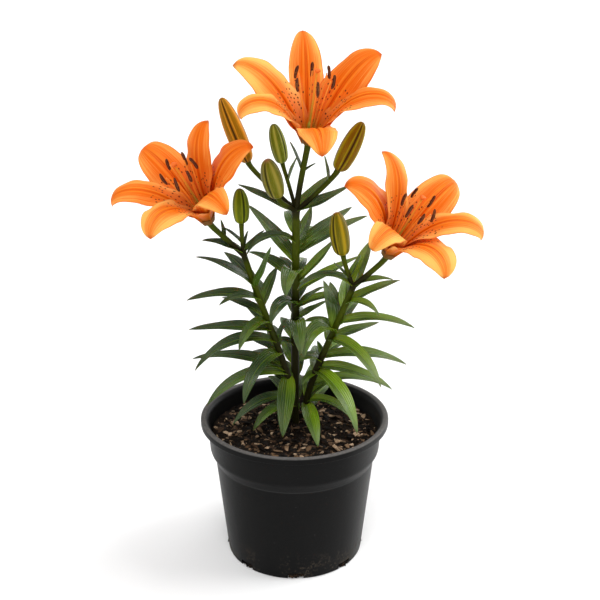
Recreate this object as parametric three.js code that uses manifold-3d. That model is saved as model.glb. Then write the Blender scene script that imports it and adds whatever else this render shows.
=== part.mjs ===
// Potted asiatic lily: leafy stems from one clump of bulbs in a round nursery pot, with open
// flowers and closed buds.
// Millimetres and degrees, +Z up. The origin is the centre of the pot's base, on the surface it
// stands on. The flowers face -Y. A heading is measured round +Z from +X, so 270 points to -Y.

import * as THREE from 'three';
import { mergeVertices } from 'three/addons/utils/BufferGeometryUtils.js';
import Module from 'manifold-3d';

const wasm = await Module();
wasm.setup();

// Space left between two pieces that touch
const GAP = 0.3;

// Pot, all radii on its outer skin
const POT_HEIGHT = 134;
const POT_BASE_RADIUS = 62.5;
const SHOULDER_Z = 90;
const SHOULDER_RADIUS = 72;
const COLLAR_Z = 103;
const COLLAR_RADIUS = 77;
const LIP_Z = 128;
const LIP_RADIUS = 85;
const NECK_RADIUS = 79;
const MOUTH_RADIUS = 80.5;
const POT_WALL = 1.6;
const POT_FLOOR = 2.4;
const POT_EDGE = 1;
const DRAIN_COUNT = 8;
const DRAIN_WIDTH = 14;
const DRAIN_HEIGHT = 6;
const DRAIN_DEPTH = 12;
const DRAIN_HEADING = -44;
const ROUND_SIDES = 36;

// Soil, heaped a little round the stems, and the bark chips lying in it
const SOIL_Z = 117;
const SOIL_MOUND = 4;
const SOIL_MOUND_REACH = 30;
const SOIL_RINGS = [69, 50, 31, 14];
const SOIL_ROUGHNESS = 0.84;
const CHIP_COUNT = 8;
const CHIP_REACH = 68;
const CHIP_CLEAR_OF_STEMS = 16;

// Bulb clump: one head under each stem, and its roots
const BULB_TOP_Z = 75;
const BULB_HEIGHT = 34;
const BULB_RADIUS = 10;
const ROOTS_PER_BULB = 2;
const ROOT_LENGTH = 24;
const ROOT_RADIUS = 1.6;

// Stems: where they start, just above the bulbs, and how much thicker they are there than at the
// fork; stalks are straight for the length of their neck, under the flower or bud
const STEM_FOOT_Z = BULB_TOP_Z + 1.5;
const STEM_FOOT_SWELL = 1.08;
const STEM_FORK_TAPER = 0.9;
const STALK_NECK = 8;

// Leaves: thickness at the midrib, how far the edges fold up as a share of half the width, and how
// far the face leans to the light, which comes from -Y
const LEAF_THICKNESS = 1.2;
const LEAF_FOLD = 0.28;
const LEAF_LEAN = 0.4;
const LEAF_STEPS = 4;

// Flowers: petal thickness, and the solid cup that the petals grow from
const PETAL_THICKNESS = 0.9;
const PETAL_STEPS = 5;
const CUP_LENGTH = 7;
const CUP_FOOT_RADIUS = 4.5;
const CUP_MOUTH_RADIUS = 7;
const PETALS = {
  outer: { foot: 4.8, groove: 0.6, curl: 2.8 },
  inner: { foot: 3.4, groove: 1.4, curl: 2.2 },
};

// Stamens and pistil
const FILAMENT_LENGTH = 62;
const FILAMENT_RADIUS = 0.7;
const FILAMENT_RING_RADIUS = 4.6;
const FILAMENT_RING_HEIGHT = 2;
const ANTHER_LENGTH = 12;
const ANTHER_RADIUS = 1.5;
const OVARY_LENGTH = 15;
const OVARY_RADIUS = 2;
const STYLE_RADIUS = 0.9;
const STIGMA_RADIUS = 2.6;

// The stems: control points of a curve from soil level to the fork at the top, and its radius.
// A leaf is [place on the stem 0 to 1, heading, lift above level, bend down over its length,
// length, width]. Back leaves fill the side away from the flowers by a rule.
const STEMS = {
  stem_centre: {
    route: [[0, 20, 112], [0.3, 17, 180], [1, 11, 255], [1.5, 5, 325.6]],
    radius: 3.8,
    back_leaves: { count: 10, heading: 90 },
    leaves: [
      [0.99, 170, 20, -5, 54, 12], [0.99, 350, 20, -15, 51, 12], [0.99, 40, 35, 5, 46, 11],
      [0.86, 65, 15, -40, 41, 11], [0.85, 205, 50, 110, 54, 10], [0.82, 40, 25, 5, 71, 13],
      [0.80, 15, 35, 20, 72, 12], [0.77, 145, 45, 10, 67, 14], [0.71, 255, 60, 150, 45, 16],
      [0.68, 150, 45, 45, 54, 12], [0.68, 10, 40, -15, 55, 12], [0.64, 25, 25, 10, 71, 11],
      [0.58, 235, 50, 120, 45, 15], [0.57, 15, 25, 30, 48, 10], [0.57, 325, 45, 10, 39, 10],
      [0.52, 335, 30, -10, 37, 10], [0.51, 275, 20, 60, 60, 15], [0.39, 190, 60, 90, 22, 8],
    ],
  },
  stem_left: {
    route: [[0, 8, 112], [7, 8, 152], [-23, 5, 213], [-43.7, -5, 289.5]],
    radius: 3.4,
    back_leaves: { count: 7, heading: 138 },
    leaves: [
      [1.0, 190, 35, 30, 37, 10], [1.0, 20, 45, 5, 26, 6], [0.85, 305, 55, -10, 50, 11],
      [0.85, 195, 50, 35, 61, 11], [0.80, 205, 25, 35, 68, 12], [0.79, 225, 40, 60, 50, 9],
      [0.77, 70, 43, 23, 45, 10], [0.72, 159, 29, 28, 44, 10], [0.69, 234, 29, 95, 49, 11],
      [0.65, 190, 13, 18, 73, 12], [0.59, 203, 29, 81, 84, 13], [0.58, 20, 72, 10, 24, 7],
      [0.54, 141, 9, 5, 41, 10], [0.53, 236, 17, 91, 69, 15], [0.43, 174, 27, 45, 88, 12],
      [0.41, 206, 27, 77, 86, 13], [0.39, 266, -23, 11, 66, 16], [0.35, 155, 13, -30, 22, 7],
      [0.25, 210, 30, 81, 69, 12], [0.20, 221, 32, 86, 55, 11],
    ],
  },
  stem_right: {
    route: [[10.5, 20, 112], [4, 14, 150], [32, 4, 200], [51.2, -10, 262.4]],
    radius: 3.4,
    back_leaves: { count: 7, heading: 55 },
    leaves: [
      [0.99, 185, 50, 105, 56, 10], [0.99, 345, 35, 40, 36, 8], [1.0, 55, 55, 10, 43, 12],
      [0.90, 5, 30, 15, 50, 11], [0.89, 315, 40, 80, 42, 9], [0.78, 350, 25, 50, 70, 11],
      [0.76, 100, 80, 60, 44, 12], [0.75, 118, 75, 30, 44, 12], [0.73, 167, 56, 83, 30, 10],
      [0.72, 230, 60, 150, 56, 16], [0.69, 25, 10, 5, 49, 10], [0.68, 305, 20, 70, 80, 13],
      [0.57, 111, 51, 29, 16, 5], [0.56, 5, 15, 45, 80, 12], [0.53, 215, 60, 90, 26, 11],
      [0.50, 350, 5, 40, 71, 12], [0.47, 305, 5, 75, 78, 15], [0.45, 215, 0, 60, 18, 7],
      [0.35, 10, 25, 55, 66, 11], [0.24, 30, 50, 55, 36, 9], [0.23, 335, 30, 85, 50, 10],
      [0.21, 280, -6, 18, 60, 14],
    ],
  },
};

// Buds: the foot and tip of each, its width, and the bend of its stalk as one middle point.
// A bract is a small leaf on the stalk, in the same terms as a leaf.
const BUDS = {
  bud_top_left: {
    stem: 'stem_centre', foot: [-39.5, 22, 361.5], tip: [-61, 22, 416], width: 16.5,
    stalk: [-21, 14, 343], stalk_radius: 2.1, bracts: [],
  },
  bud_top_middle: {
    stem: 'stem_centre', foot: [-10, 12, 363], tip: [-17.5, 12, 396], width: 13.5,
    stalk: [-4, 9, 345], stalk_radius: 1.7, bracts: [[0.5, 350, 72, 5, 22, 6]],
  },
  bud_top_front: {
    stem: 'stem_centre', foot: [-13.5, -12, 340], tip: [-22, -24, 374], width: 17,
    stalk: [-8, -5, 332], stalk_radius: 2, bracts: [],
  },
  bud_top_right: {
    stem: 'stem_centre', foot: [36.5, 2, 359], tip: [56.5, 2, 399.5], width: 16.5,
    stalk: [18, 4, 338], stalk_radius: 2.2, bracts: [[0.65, 180, 84, 5, 22, 5]],
  },
  bud_left: {
    stem: 'stem_left', foot: [-44.5, -8, 316], tip: [-45.5, -8, 346], width: 14,
    stalk: [-44.5, -8, 303], stalk_radius: 1.9,
    bracts: [[0.1, 10, 80, 5, 18, 5], [0.3, 180, 46, 10, 21, 5]],
  },
  bud_right: {
    stem: 'stem_right', foot: [41.5, -8, 288], tip: [35.5, -8, 325.5], width: 16.5,
    stalk: [45.5, -10, 273], stalk_radius: 2,
    bracts: [[0.25, 10, 66, 5, 22, 6], [0.2, 175, 49, 5, 20, 4]],
  },
};

// Flowers: the foot, where the flower faces (lift and heading), and the bend of its stalk.
// A petal is [turn round the flower, angle from the axis at the foot and at the tip, length,
// width]; the broad ones are the inner three. A stamen is [turn, angle from the axis].
const FLOWERS = {
  top: {
    stem: 'stem_centre', foot: [11.5, -5, 383.5], lift: 66, heading: -82,
    stalk: [5, 2, 352], stalk_radius: 2.5,
    bracts: [[0.45, 175, 71, 5, 27, 5], [0.45, 0, 40, 10, 13, 2.5]],
    outer: [[90, 30, 60, 88, 28], [195, 25, 170, 91, 25], [340, 25, 150, 96, 26]],
    inner: [[158, 25, 85, 91, 35], [270, 28, 124, 88, 34], [20, 24, 65, 92, 36]],
    stamens: [[38, 15], [85, 11], [135, 13], [210, 12], [277, 12], [345, 13]],
    pistil: [60, 8],
  },
  left: {
    stem: 'stem_left', foot: [-71, -15, 319], lift: 58, heading: -122,
    stalk: [-58, -9, 304], stalk_radius: 2.4, bracts: [[0.4, 150, 80, 5, 16, 4]],
    outer: [[80, 8, 65, 90, 26], [215, 25, 140, 92, 26], [334, 20, 145, 90, 26]],
    inner: [[160, 26, 100, 90, 35], [270, 22, 120, 88, 33], [35, 20, 85, 90, 32]],
    stamens: [[45, 7], [115, 9], [170, 14], [230, 14], [285, 14], [328, 10]],
    pistil: [177, 7],
  },
  right: {
    stem: 'stem_right', foot: [77.9, -20, 290.8], lift: 58, heading: -52,
    stalk: [65, -15, 275], stalk_radius: 2.4, bracts: [],
    outer: [[100, 10, 80, 92, 26], [200, 18, 175, 91, 26], [310, 15, 140, 100, 27]],
    inner: [[142, 18, 100, 91, 32], [265, 22, 135, 88, 34], [15, 24, 95, 91, 36]],
    stamens: [[58, 11], [140, 8], [204, 10], [248, 13], [297, 13], [0, 14]],
    pistil: [20, 8],
  },
};

const UP = new THREE.Vector3(0, 0, 1);
const LIGHT = new THREE.Vector3(0, -1, 0);

const matte = (color, roughness) => new THREE.MeshStandardMaterial({ color, roughness, metalness: 0 });
const FINISH = {
  pot: matte(0x1c1c1d, 0.55),
  soil: matte(0x2e2019, 0.95),
  bulb: matte(0xd9c9a0, 0.7),
  foliage: matte(0x3c6b1f, 0.45),
  bud: matte(0x8c9a32, 0.5),
  petal: matte(0xf47a1c, 0.5),
  filament: matte(0xe98a2a, 0.5),
  pistil: matte(0xc9a13c, 0.5),
  anther: matte(0x4a1c14, 0.8),
};

// Small helpers for vectors and angles

const vector = (point) => new THREE.Vector3(...point);
const radians = THREE.MathUtils.degToRad;
const mix = THREE.MathUtils.lerp;

function headingVector(heading, lift = 0) {
  const level = Math.cos(radians(lift));
  return new THREE.Vector3(
    level * Math.cos(radians(heading)),
    level * Math.sin(radians(heading)),
    Math.sin(radians(lift)),
  );
}

// Random draws from a fixed seed, the same every time
function randomFrom(seed) {
  let state = seed;
  return (low, high) => {
    state = (state * 16807) % 2147483647;
    return mix(low, high, state / 2147483647);
  };
}

// Solids from three.js geometry

function merged(geometry) {
  geometry.deleteAttribute('normal');
  geometry.deleteAttribute('uv');
  return mergeVertices(geometry);
}

function solidOf(geometry) {
  return new wasm.Manifold(new wasm.Mesh({
    numProp: 3,
    vertProperties: new Float32Array(geometry.attributes.position.array),
    triVerts: new Uint32Array(geometry.index.array),
  }));
}

// A closed skin: place(across, along, up) says where each point of a blank goes
function reshape(blank, place) {
  const points = blank.attributes.position;
  for (let i = 0; i < points.count; i += 1) {
    const moved = place(points.getX(i), points.getY(i) + 0.5, points.getZ(i));
    points.setXYZ(i, moved.x, moved.y, moved.z);
  }
  return solidOf(blank);
}

// A round blank of radius 1, from along 0 to along 1, flat at the start
function roundBlank(sides, steps) {
  return merged(new THREE.CylinderGeometry(1, 1, 1, sides, steps));
}

// The same, drawn in to a single point at the end
function pointedBlank(sides, steps) {
  const blank = merged(new THREE.ConeGeometry(1, 1, sides, steps));
  const points = blank.attributes.position;
  for (let i = 0; i < points.count; i += 1) {
    const radius = Math.hypot(points.getX(i), points.getZ(i)) || 1;
    points.setXYZ(i, points.getX(i) / radius, points.getY(i), points.getZ(i) / radius);
  }
  return blank;
}

function lathe(profile, sides) {
  const outline = profile.map(([radius, z]) => new THREE.Vector2(radius, z));
  return solidOf(merged(new THREE.LatheGeometry(outline, sides).rotateX(Math.PI / 2)));
}

function union(solids) {
  return solids.reduce((whole, next) => whole.add(next));
}

// Joins what grows as one body. A hollow that the joining seals is filled, and a scrap is dropped.
function growTogether(solids) {
  const bodies = union(solids).decompose();
  return bodies.reduce((largest, next) => (next.volume() > largest.volume() ? next : largest));
}

function meshOf(name, solid, material) {
  const { vertProperties, triVerts } = solid.getMesh();
  const geometry = new THREE.BufferGeometry();
  geometry.setAttribute('position', new THREE.BufferAttribute(vertProperties, 3));
  geometry.setIndex(new THREE.BufferAttribute(triVerts, 1));
  geometry.computeVertexNormals();
  const mesh = new THREE.Mesh(geometry, material);
  mesh.name = name;
  return mesh;
}

// A round rod along a curve: pointAt(t) runs from t = 0 to 1
function rod(pointAt, radiusAt, sides, steps, blank = roundBlank(sides, steps)) {
  const step = 1e-3;
  return reshape(blank, (across, along, up) => {
    const tangent = pointAt(along + step).sub(pointAt(along - step)).normalize();
    const side = new THREE.Vector3(1, 0, 0).addScaledVector(tangent, -tangent.x).normalize();
    const front = side.clone().cross(tangent);
    const radius = radiusAt(along, Math.atan2(up, across));
    return pointAt(along).addScaledVector(side, across * radius).addScaledVector(front, up * radius);
  });
}

// The middle line of a leaf or petal. It starts at `root` and leaves `axis` towards `outward` by
// angleAt(along) degrees. The face is the side turned to the axis, or upwards in a leaf.
function midrib({ root, axis, outward, angleAt, length, lean = 0 }) {
  const strides = 24;
  return (along) => {
    const point = root.clone();
    const stride = along * length / strides;
    for (let i = 0; i < strides; i += 1) {
      const angle = radians(angleAt(along * (i + 0.5) / strides));
      point.addScaledVector(axis, Math.cos(angle) * stride);
      point.addScaledVector(outward, Math.sin(angle) * stride);
    }
    const angle = radians(angleAt(along));
    const tangent = axis.clone().multiplyScalar(Math.cos(angle));
    tangent.addScaledVector(outward, Math.sin(angle));
    const face = axis.clone().multiplyScalar(Math.sin(angle));
    face.addScaledVector(outward, -Math.cos(angle));
    face.addScaledVector(LIGHT, lean).addScaledVector(tangent, -lean * LIGHT.dot(tangent)).normalize();
    return { point, side: tangent.cross(face), face };
  };
}

// Leaves

function leaf(root, [, heading, lift, bend, length, width]) {
  const rib = midrib({
    root,
    axis: UP,
    outward: headingVector(heading),
    angleAt: (along) => 90 - lift + bend * along,
    length,
    lean: LEAF_LEAN,
  });
  return reshape(pointedBlank(4, LEAF_STEPS), (across, along, up) => {
    const { point, side, face } = rib(along);
    const half = 1.045 * width * (along + 0.03) ** 0.45 * (1 - along) ** 0.7;
    const rise = LEAF_FOLD * half * Math.abs(across) + up * LEAF_THICKNESS / 2;
    return point.addScaledVector(side, across * half).addScaledVector(face, rise);
  });
}

// Leaves on the far side, alternately a little to the left and right, level and drooping
function backLeaves({ count, heading }, random) {
  return Array.from({ length: count }, (_, index) => {
    const place = mix(0.3, 0.92, (index + 0.5) / count);
    const turn = (index % 2 ? 1 : -1) * random(6, 20);
    return [place, heading + turn, random(5, 30), random(45, 80), random(48, 66), random(11, 13)];
  });
}

// Stems

function stemPoint({ route }, place) {
  const curve = new THREE.CubicBezierCurve3(...route.map(vector));
  if (place >= 0) return curve.getPoint(Math.min(place, 1));
  return curve.v0.clone().addScaledVector(curve.v1.sub(curve.v0), 3 * place);
}

// How far below soil level, in the stem's own terms, it reaches the height z
function placeAtHeight({ route }, z) {
  return (z - route[0][2]) / (3 * (route[1][2] - route[0][2]));
}

// The bare stem from the height `foot` to its fork. `extra` makes it thicker, for its hole in the soil.
function stemRod(stem, foot, extra) {
  const start = placeAtHeight(stem, foot);
  return rod(
    (along) => stemPoint(stem, mix(start, 1, along)),
    (along) => stem.radius * mix(STEM_FOOT_SWELL, STEM_FORK_TAPER, along) + extra,
    6,
    7,
  );
}

// The stalk of a flower or bud, from the fork at the stem's top to just under its foot
function stalk(carried) {
  const fork = stemPoint(STEMS[carried.stem], 0.985);
  const foot = vector(carried.foot);
  const neck = foot.clone().addScaledVector(axisOf(carried), -STALK_NECK);
  const curve = new THREE.CubicBezierCurve3(fork, vector(carried.stalk), neck, foot);
  const end = 1 - GAP / curve.getLength();
  const rodAt = (along) => curve.getPoint(Math.min(Math.max(along * end, 0), 1));
  const swell = (along) => carried.stalk_radius * (1 + 0.25 * along ** 6);
  return [
    rod(rodAt, swell, 6, 3),
    ...carried.bracts.map((bract) => leaf(rodAt(bract[0]), bract)),
  ];
}

function leafyStem(name, random) {
  const stem = STEMS[name];
  const carried = [...Object.values(BUDS), ...Object.values(FLOWERS)].filter((one) => one.stem === name);
  const leaves = [...stem.leaves, ...backLeaves(stem.back_leaves, random)];
  return growTogether([
    stemRod(stem, STEM_FOOT_Z, 0),
    ...leaves.map((row) => leaf(stemPoint(stem, row[0]), row)),
    ...carried.flatMap(stalk),
  ]);
}

// The way a bud or flower points, from its foot
function axisOf({ foot, tip, heading, lift }) {
  return tip ? vector(tip).sub(vector(foot)).normalize() : headingVector(heading, lift);
}

// Buds: three outer petals closed over the rest, with a furrow between each two

function bud({ foot, tip, width }) {
  const start = vector(foot);
  const end = vector(tip);
  const swelling = (along) => (along + 0.09) ** 0.42 * (1 - along) ** 0.45 / 0.59;
  return rod(
    (along) => start.clone().lerp(end, along),
    (along, turn) => width / 2 * swelling(along) * (1 + 0.07 * Math.cos(3 * turn)),
    9,
    7,
    pointedBlank(9, 7),
  );
}

// Flowers

function flowerFrame(flower) {
  const axis = axisOf(flower);
  const level = UP.clone().cross(axis).normalize();
  const upward = axis.clone().cross(level);
  const spread = (turn) => level.clone().multiplyScalar(Math.cos(radians(turn)))
    .addScaledVector(upward, Math.sin(radians(turn)));
  return { foot: vector(flower.foot), axis, spread };
}

function petal(frame, [turn, startAngle, endAngle, length, width], { foot, groove, curl }) {
  const outward = frame.spread(turn);
  const rib = midrib({
    root: frame.foot.clone().addScaledVector(frame.axis, 1).addScaledVector(outward, foot),
    axis: frame.axis,
    outward,
    angleAt: (along) => mix(startAngle, endAngle, along ** curl),
    length,
  });
  const blank = merged(new THREE.BoxGeometry(2, 1, 1, 4, PETAL_STEPS, 1));
  return reshape(blank, (across, step, up) => {
    const along = step ** 0.85;
    const { point, side, face } = rib(along);
    const half = Math.max(1.57 * width * (along + 0.06) ** 1.1 * (1 - along) ** 0.75, 0.5);
    const trough = mix(0.75, -0.2, Math.min(along * 1.6, 1));
    const keel = across === 0 ? -groove * (1 - along) : 0;
    const rise = trough * half * across ** 2 + keel + up * PETAL_THICKNESS;
    return point.addScaledVector(side, across * half).addScaledVector(face, rise);
  });
}

function bloom(flower) {
  const frame = flowerFrame(flower);
  const cup = rod(
    (along) => frame.foot.clone().addScaledVector(frame.axis, along * CUP_LENGTH),
    (along) => mix(CUP_FOOT_RADIUS, CUP_MOUTH_RADIUS, along ** 0.6),
    9,
    2,
  );
  return growTogether([
    cup,
    ...flower.outer.map((row) => petal(frame, row, PETALS.outer)),
    ...flower.inner.map((row) => petal(frame, row, PETALS.inner)),
  ]);
}

// The centre line of a stamen or style: it bows outwards and ends `angle` from the axis
function strand(frame, [turn, angle], foot, length) {
  const outward = frame.spread(turn);
  const start = frame.foot.clone().addScaledVector(frame.axis, CUP_LENGTH + GAP);
  start.addScaledVector(outward, foot);
  const end = frame.foot.clone().addScaledVector(frame.axis, length * Math.cos(radians(angle)));
  end.addScaledVector(outward, length * Math.sin(radians(angle)));
  const middle = start.clone().lerp(end, 0.5).addScaledVector(outward, -length * 0.02);
  return new THREE.QuadraticBezierCurve3(start, middle, end);
}

function filaments(flower) {
  const frame = flowerFrame(flower);
  const foot = frame.foot.clone().addScaledVector(frame.axis, CUP_LENGTH + GAP);
  const ring = (radius) => rod(
    (along) => foot.clone().addScaledVector(frame.axis, along * FILAMENT_RING_HEIGHT),
    () => radius,
    8,
    1,
  );
  const threads = flower.stamens.map((row) => {
    const curve = strand(frame, row, FILAMENT_RING_RADIUS - FILAMENT_RADIUS - 0.3, FILAMENT_LENGTH);
    return rod(
      (along) => curve.getPoint(Math.min(Math.max(along, 0), 1)),
      (along) => FILAMENT_RADIUS * mix(1.3, 0.8, along),
      3,
      3,
    );
  });
  return union([ring(FILAMENT_RING_RADIUS), ...threads]).subtract(ring(1.15 * OVARY_RADIUS + GAP));
}

function pistil(flower) {
  const frame = flowerFrame(flower);
  const length = FILAMENT_LENGTH + 4;
  const curve = strand(frame, flower.pistil, 0, length);
  const ovaryEnd = OVARY_LENGTH / length;
  const stigmaStart = 1 - 3.5 / length;
  const radiusAt = (along, turn) => {
    if (along < ovaryEnd) return OVARY_RADIUS * (1 + 0.08 * Math.cos(3 * turn));
    if (along < stigmaStart) return STYLE_RADIUS;
    return STIGMA_RADIUS * (1 + 0.16 * Math.cos(3 * turn));
  };
  return rod((along) => curve.getPoint(Math.min(Math.max(along, 0), 1)), radiusAt, 6, 12);
}

// An anther hangs by its back on its filament's tip, nearly in line with the flower's axis
function anther(flower, row, index) {
  const frame = flowerFrame(flower);
  const tip = strand(frame, row, 0, FILAMENT_LENGTH).getPoint(1);
  const outward = frame.spread(row[0]);
  const centre = tip.addScaledVector(outward, ANTHER_RADIUS + FILAMENT_RADIUS + GAP);
  const tilt = radians(index % 2 ? 6 : -10);
  const along = frame.axis.clone().multiplyScalar(Math.cos(tilt)).addScaledVector(outward, Math.sin(tilt));
  const ball = merged(new THREE.SphereGeometry(1, 5, 4));
  const basis = new THREE.Matrix4();
  const side = along.clone().cross(frame.axis).normalize();
  basis.makeBasis(side, along, side.clone().cross(along));
  basis.setPosition(centre);
  ball.scale(ANTHER_RADIUS, ANTHER_LENGTH / 2, ANTHER_RADIUS * 0.8).applyMatrix4(basis);
  return solidOf(ball);
}

// Bulbs and roots. `extra` makes the same clump larger, for the space it fills in the soil.

function bulbClump(extra) {
  const parts = Object.values(STEMS).flatMap((stem, index) => {
    const top = stemPoint(stem, placeAtHeight(stem, BULB_TOP_Z)).setZ(BULB_TOP_Z + extra);
    const base = top.clone().setZ(BULB_TOP_Z - BULB_HEIGHT - extra);
    const rounding = (along) => (along + 0.03) ** 0.3 * (1.12 - along) ** 0.6 / 0.64;
    const head = rod(
      (along) => base.clone().lerp(top, along),
      (along, turn) => (BULB_RADIUS * (1 + 0.06 * Math.cos(5 * turn)) + extra) * rounding(along),
      8,
      4,
    );
    const roots = Array.from({ length: ROOTS_PER_BULB }, (_, number) => {
      const heading = headingVector(360 * number / ROOTS_PER_BULB + 40 * index);
      const start = base.clone().addScaledVector(heading, BULB_RADIUS * 0.3).setZ(base.z + 2 + extra);
      const end = base.clone().addScaledVector(heading, BULB_RADIUS * 0.9).setZ(base.z - ROOT_LENGTH);
      const taper = (along) => ROOT_RADIUS * mix(1, 0.4, along) + extra;
      return rod((along) => start.clone().lerp(end, along), taper, 3, 1);
    });
    return [head, ...roots];
  });
  return union(parts);
}

// Soil

function soilSurface(x, y) {
  const [heapX, heapY] = STEMS.stem_centre.route[0];
  const reach = Math.hypot(x - heapX, y - heapY) / SOIL_MOUND_REACH;
  const mound = SOIL_MOUND * Math.exp(-(reach ** 2));
  const waves = Math.sin(x * 0.19 + 1.3) * Math.cos(y * 0.23 - 0.4) + 0.6 * Math.sin((x + y) * 0.41);
  return SOIL_Z + mound + SOIL_ROUGHNESS * waves;
}

function soil() {
  const top = new THREE.LatheGeometry([
    [0, POT_FLOOR + GAP],
    [POT_BASE_RADIUS - POT_WALL - GAP, POT_FLOOR + GAP],
    [SHOULDER_RADIUS - POT_WALL - GAP, SHOULDER_Z],
    [COLLAR_RADIUS - POT_WALL - GAP, COLLAR_Z],
    [COLLAR_RADIUS - POT_WALL, SOIL_Z - 2],
    ...SOIL_RINGS.map((radius) => [radius, SOIL_Z]),
    [0, SOIL_Z],
  ].map((point) => new THREE.Vector2(...point)), ROUND_SIDES).rotateX(Math.PI / 2);
  const body = merged(top);
  const points = body.attributes.position;
  for (let i = 0; i < points.count; i += 1) {
    if (points.getZ(i) > SOIL_Z - 1) points.setZ(i, soilSurface(points.getX(i), points.getY(i)));
  }
  const stems = Object.values(STEMS);
  const holes = stems.map((stem) => stemRod(stem, BULB_TOP_Z - 1, GAP));
  return union([solidOf(body), ...barkChips(randomFrom(7))])
    .subtract(bulbClump(GAP))
    .subtract(union(holes));
}

function barkChips(random) {
  const feet = Object.values(STEMS).map((stem) => stemPoint(stem, 0));
  const chips = [];
  while (chips.length < CHIP_COUNT) {
    const away = headingVector(random(0, 360)).multiplyScalar(CHIP_REACH * Math.sqrt(random(0.02, 1)));
    const size = [random(7, 15), random(3, 6), random(1.5, 2.5)];
    const turn = new THREE.Euler(radians(random(-12, 12)), radians(random(-12, 12)), random(0, Math.PI));
    const clear = feet.every((foot) => Math.hypot(foot.x - away.x, foot.y - away.y) > CHIP_CLEAR_OF_STEMS);
    if (clear) {
      const chip = new THREE.BoxGeometry(...size);
      chip.applyMatrix4(new THREE.Matrix4().makeRotationFromEuler(turn));
      chip.translate(away.x, away.y, soilSurface(away.x, away.y) + 0.2);
      chips.push(solidOf(merged(chip)));
    }
  }
  return chips;
}

// Pot

function pot() {
  const shell = lathe([
    [0, 0],
    [POT_BASE_RADIUS - POT_EDGE, 0],
    [POT_BASE_RADIUS, POT_EDGE],
    [SHOULDER_RADIUS, SHOULDER_Z],
    [COLLAR_RADIUS, COLLAR_Z],
    [NECK_RADIUS, POT_HEIGHT - POT_WALL],
    [LIP_RADIUS - POT_WALL, POT_HEIGHT - POT_WALL],
    [LIP_RADIUS - POT_WALL, LIP_Z],
    [LIP_RADIUS, LIP_Z],
    [LIP_RADIUS, POT_HEIGHT - POT_EDGE],
    [LIP_RADIUS - POT_EDGE, POT_HEIGHT],
    [MOUTH_RADIUS, POT_HEIGHT],
    [NECK_RADIUS - POT_WALL, POT_HEIGHT - 4],
    [COLLAR_RADIUS - POT_WALL, COLLAR_Z],
    [SHOULDER_RADIUS - POT_WALL, SHOULDER_Z],
    [POT_BASE_RADIUS - POT_WALL, POT_FLOOR],
    [0, POT_FLOOR],
  ], ROUND_SIDES);
  const drains = Array.from({ length: DRAIN_COUNT }, (_, index) => {
    const slot = new THREE.BoxGeometry(DRAIN_DEPTH, DRAIN_WIDTH, 2 * DRAIN_HEIGHT);
    slot.translate(POT_BASE_RADIUS, 0, 0).rotateZ(radians(DRAIN_HEADING + index * 360 / DRAIN_COUNT));
    return solidOf(merged(slot));
  });
  return shell.subtract(union(drains));
}

// The plant in its pot

const lily = new THREE.Group();
lily.add(meshOf('pot', pot(), FINISH.pot));
lily.add(meshOf('soil', soil(), FINISH.soil));
lily.add(meshOf('bulb', bulbClump(0), FINISH.bulb));
const leafDraws = randomFrom(11);
for (const name of Object.keys(STEMS)) {
  lily.add(meshOf(name, leafyStem(name, leafDraws), FINISH.foliage));
}
for (const [name, closed] of Object.entries(BUDS)) {
  lily.add(meshOf(name, bud(closed), FINISH.bud));
}
for (const [place, flower] of Object.entries(FLOWERS)) {
  lily.add(meshOf(`bloom_${place}`, bloom(flower), FINISH.petal));
  lily.add(meshOf(`filaments_${place}`, filaments(flower), FINISH.filament));
  lily.add(meshOf(`pistil_${place}`, pistil(flower), FINISH.pistil));
  flower.stamens.forEach((row, index) => {
    lily.add(meshOf(`anther_${place}_${index + 1}`, anther(flower, row, index), FINISH.anther));
  });
}

export default lily;
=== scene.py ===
"""Potted asiatic lily: leafy stems from one clump of bulbs in a round nursery pot, with open
flowers and closed buds.

Metres and degrees, +Z up. The origin is the centre of the pot's base, on the surface it stands
on. The flowers face -Y. A heading is measured round +Z from +X, so 270 points to -Y.
"""

import math

import bmesh
import bpy
import numpy as np
from mathutils import Matrix, Vector


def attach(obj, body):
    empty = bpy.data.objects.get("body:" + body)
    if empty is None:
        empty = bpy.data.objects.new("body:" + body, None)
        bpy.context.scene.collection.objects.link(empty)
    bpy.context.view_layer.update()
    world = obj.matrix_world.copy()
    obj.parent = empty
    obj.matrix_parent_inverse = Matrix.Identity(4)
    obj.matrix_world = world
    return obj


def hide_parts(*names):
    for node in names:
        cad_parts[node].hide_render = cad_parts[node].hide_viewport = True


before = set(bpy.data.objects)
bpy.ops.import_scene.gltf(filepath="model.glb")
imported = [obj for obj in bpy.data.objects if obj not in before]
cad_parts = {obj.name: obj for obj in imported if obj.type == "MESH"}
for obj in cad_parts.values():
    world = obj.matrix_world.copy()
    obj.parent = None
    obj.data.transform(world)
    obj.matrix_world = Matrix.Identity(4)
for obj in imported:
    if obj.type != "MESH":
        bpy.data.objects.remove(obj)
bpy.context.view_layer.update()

# Pot: all radii but the mouth's are on its outer skin
POT_HEIGHT = 0.134
POT_BASE_RADIUS = 0.0625
SHOULDER_Z = 0.0945
SHOULDER_RADIUS = 0.0725
COLLAR_Z = 0.103
COLLAR_RADIUS = 0.077
LIP_Z = 0.128
LIP_RADIUS = 0.085
NECK_RADIUS = 0.079
MOUTH_RADIUS = 0.0805
POT_WALL = 0.0016
POT_FLOOR = 0.0024
POT_EDGE = 0.001
POT_EASE = 0.0022
POT_EASE_STEPS = 5
POT_SIDES = 180
MOUTH_DEPTH = 0.004

# Drainage notches round the pot's foot, and the soil that fills them: crumbs for each notch, and
# how far they spread as a share of the way to the next one
DRAIN_COUNT = 8
DRAIN_WIDTH = 0.014
DRAIN_HEIGHT = 0.006
DRAIN_DEPTH = 0.012
DRAIN_HEADING = -44
SLOT_CRUMBS = 30
SLOT_SPREAD = 0.2

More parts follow.
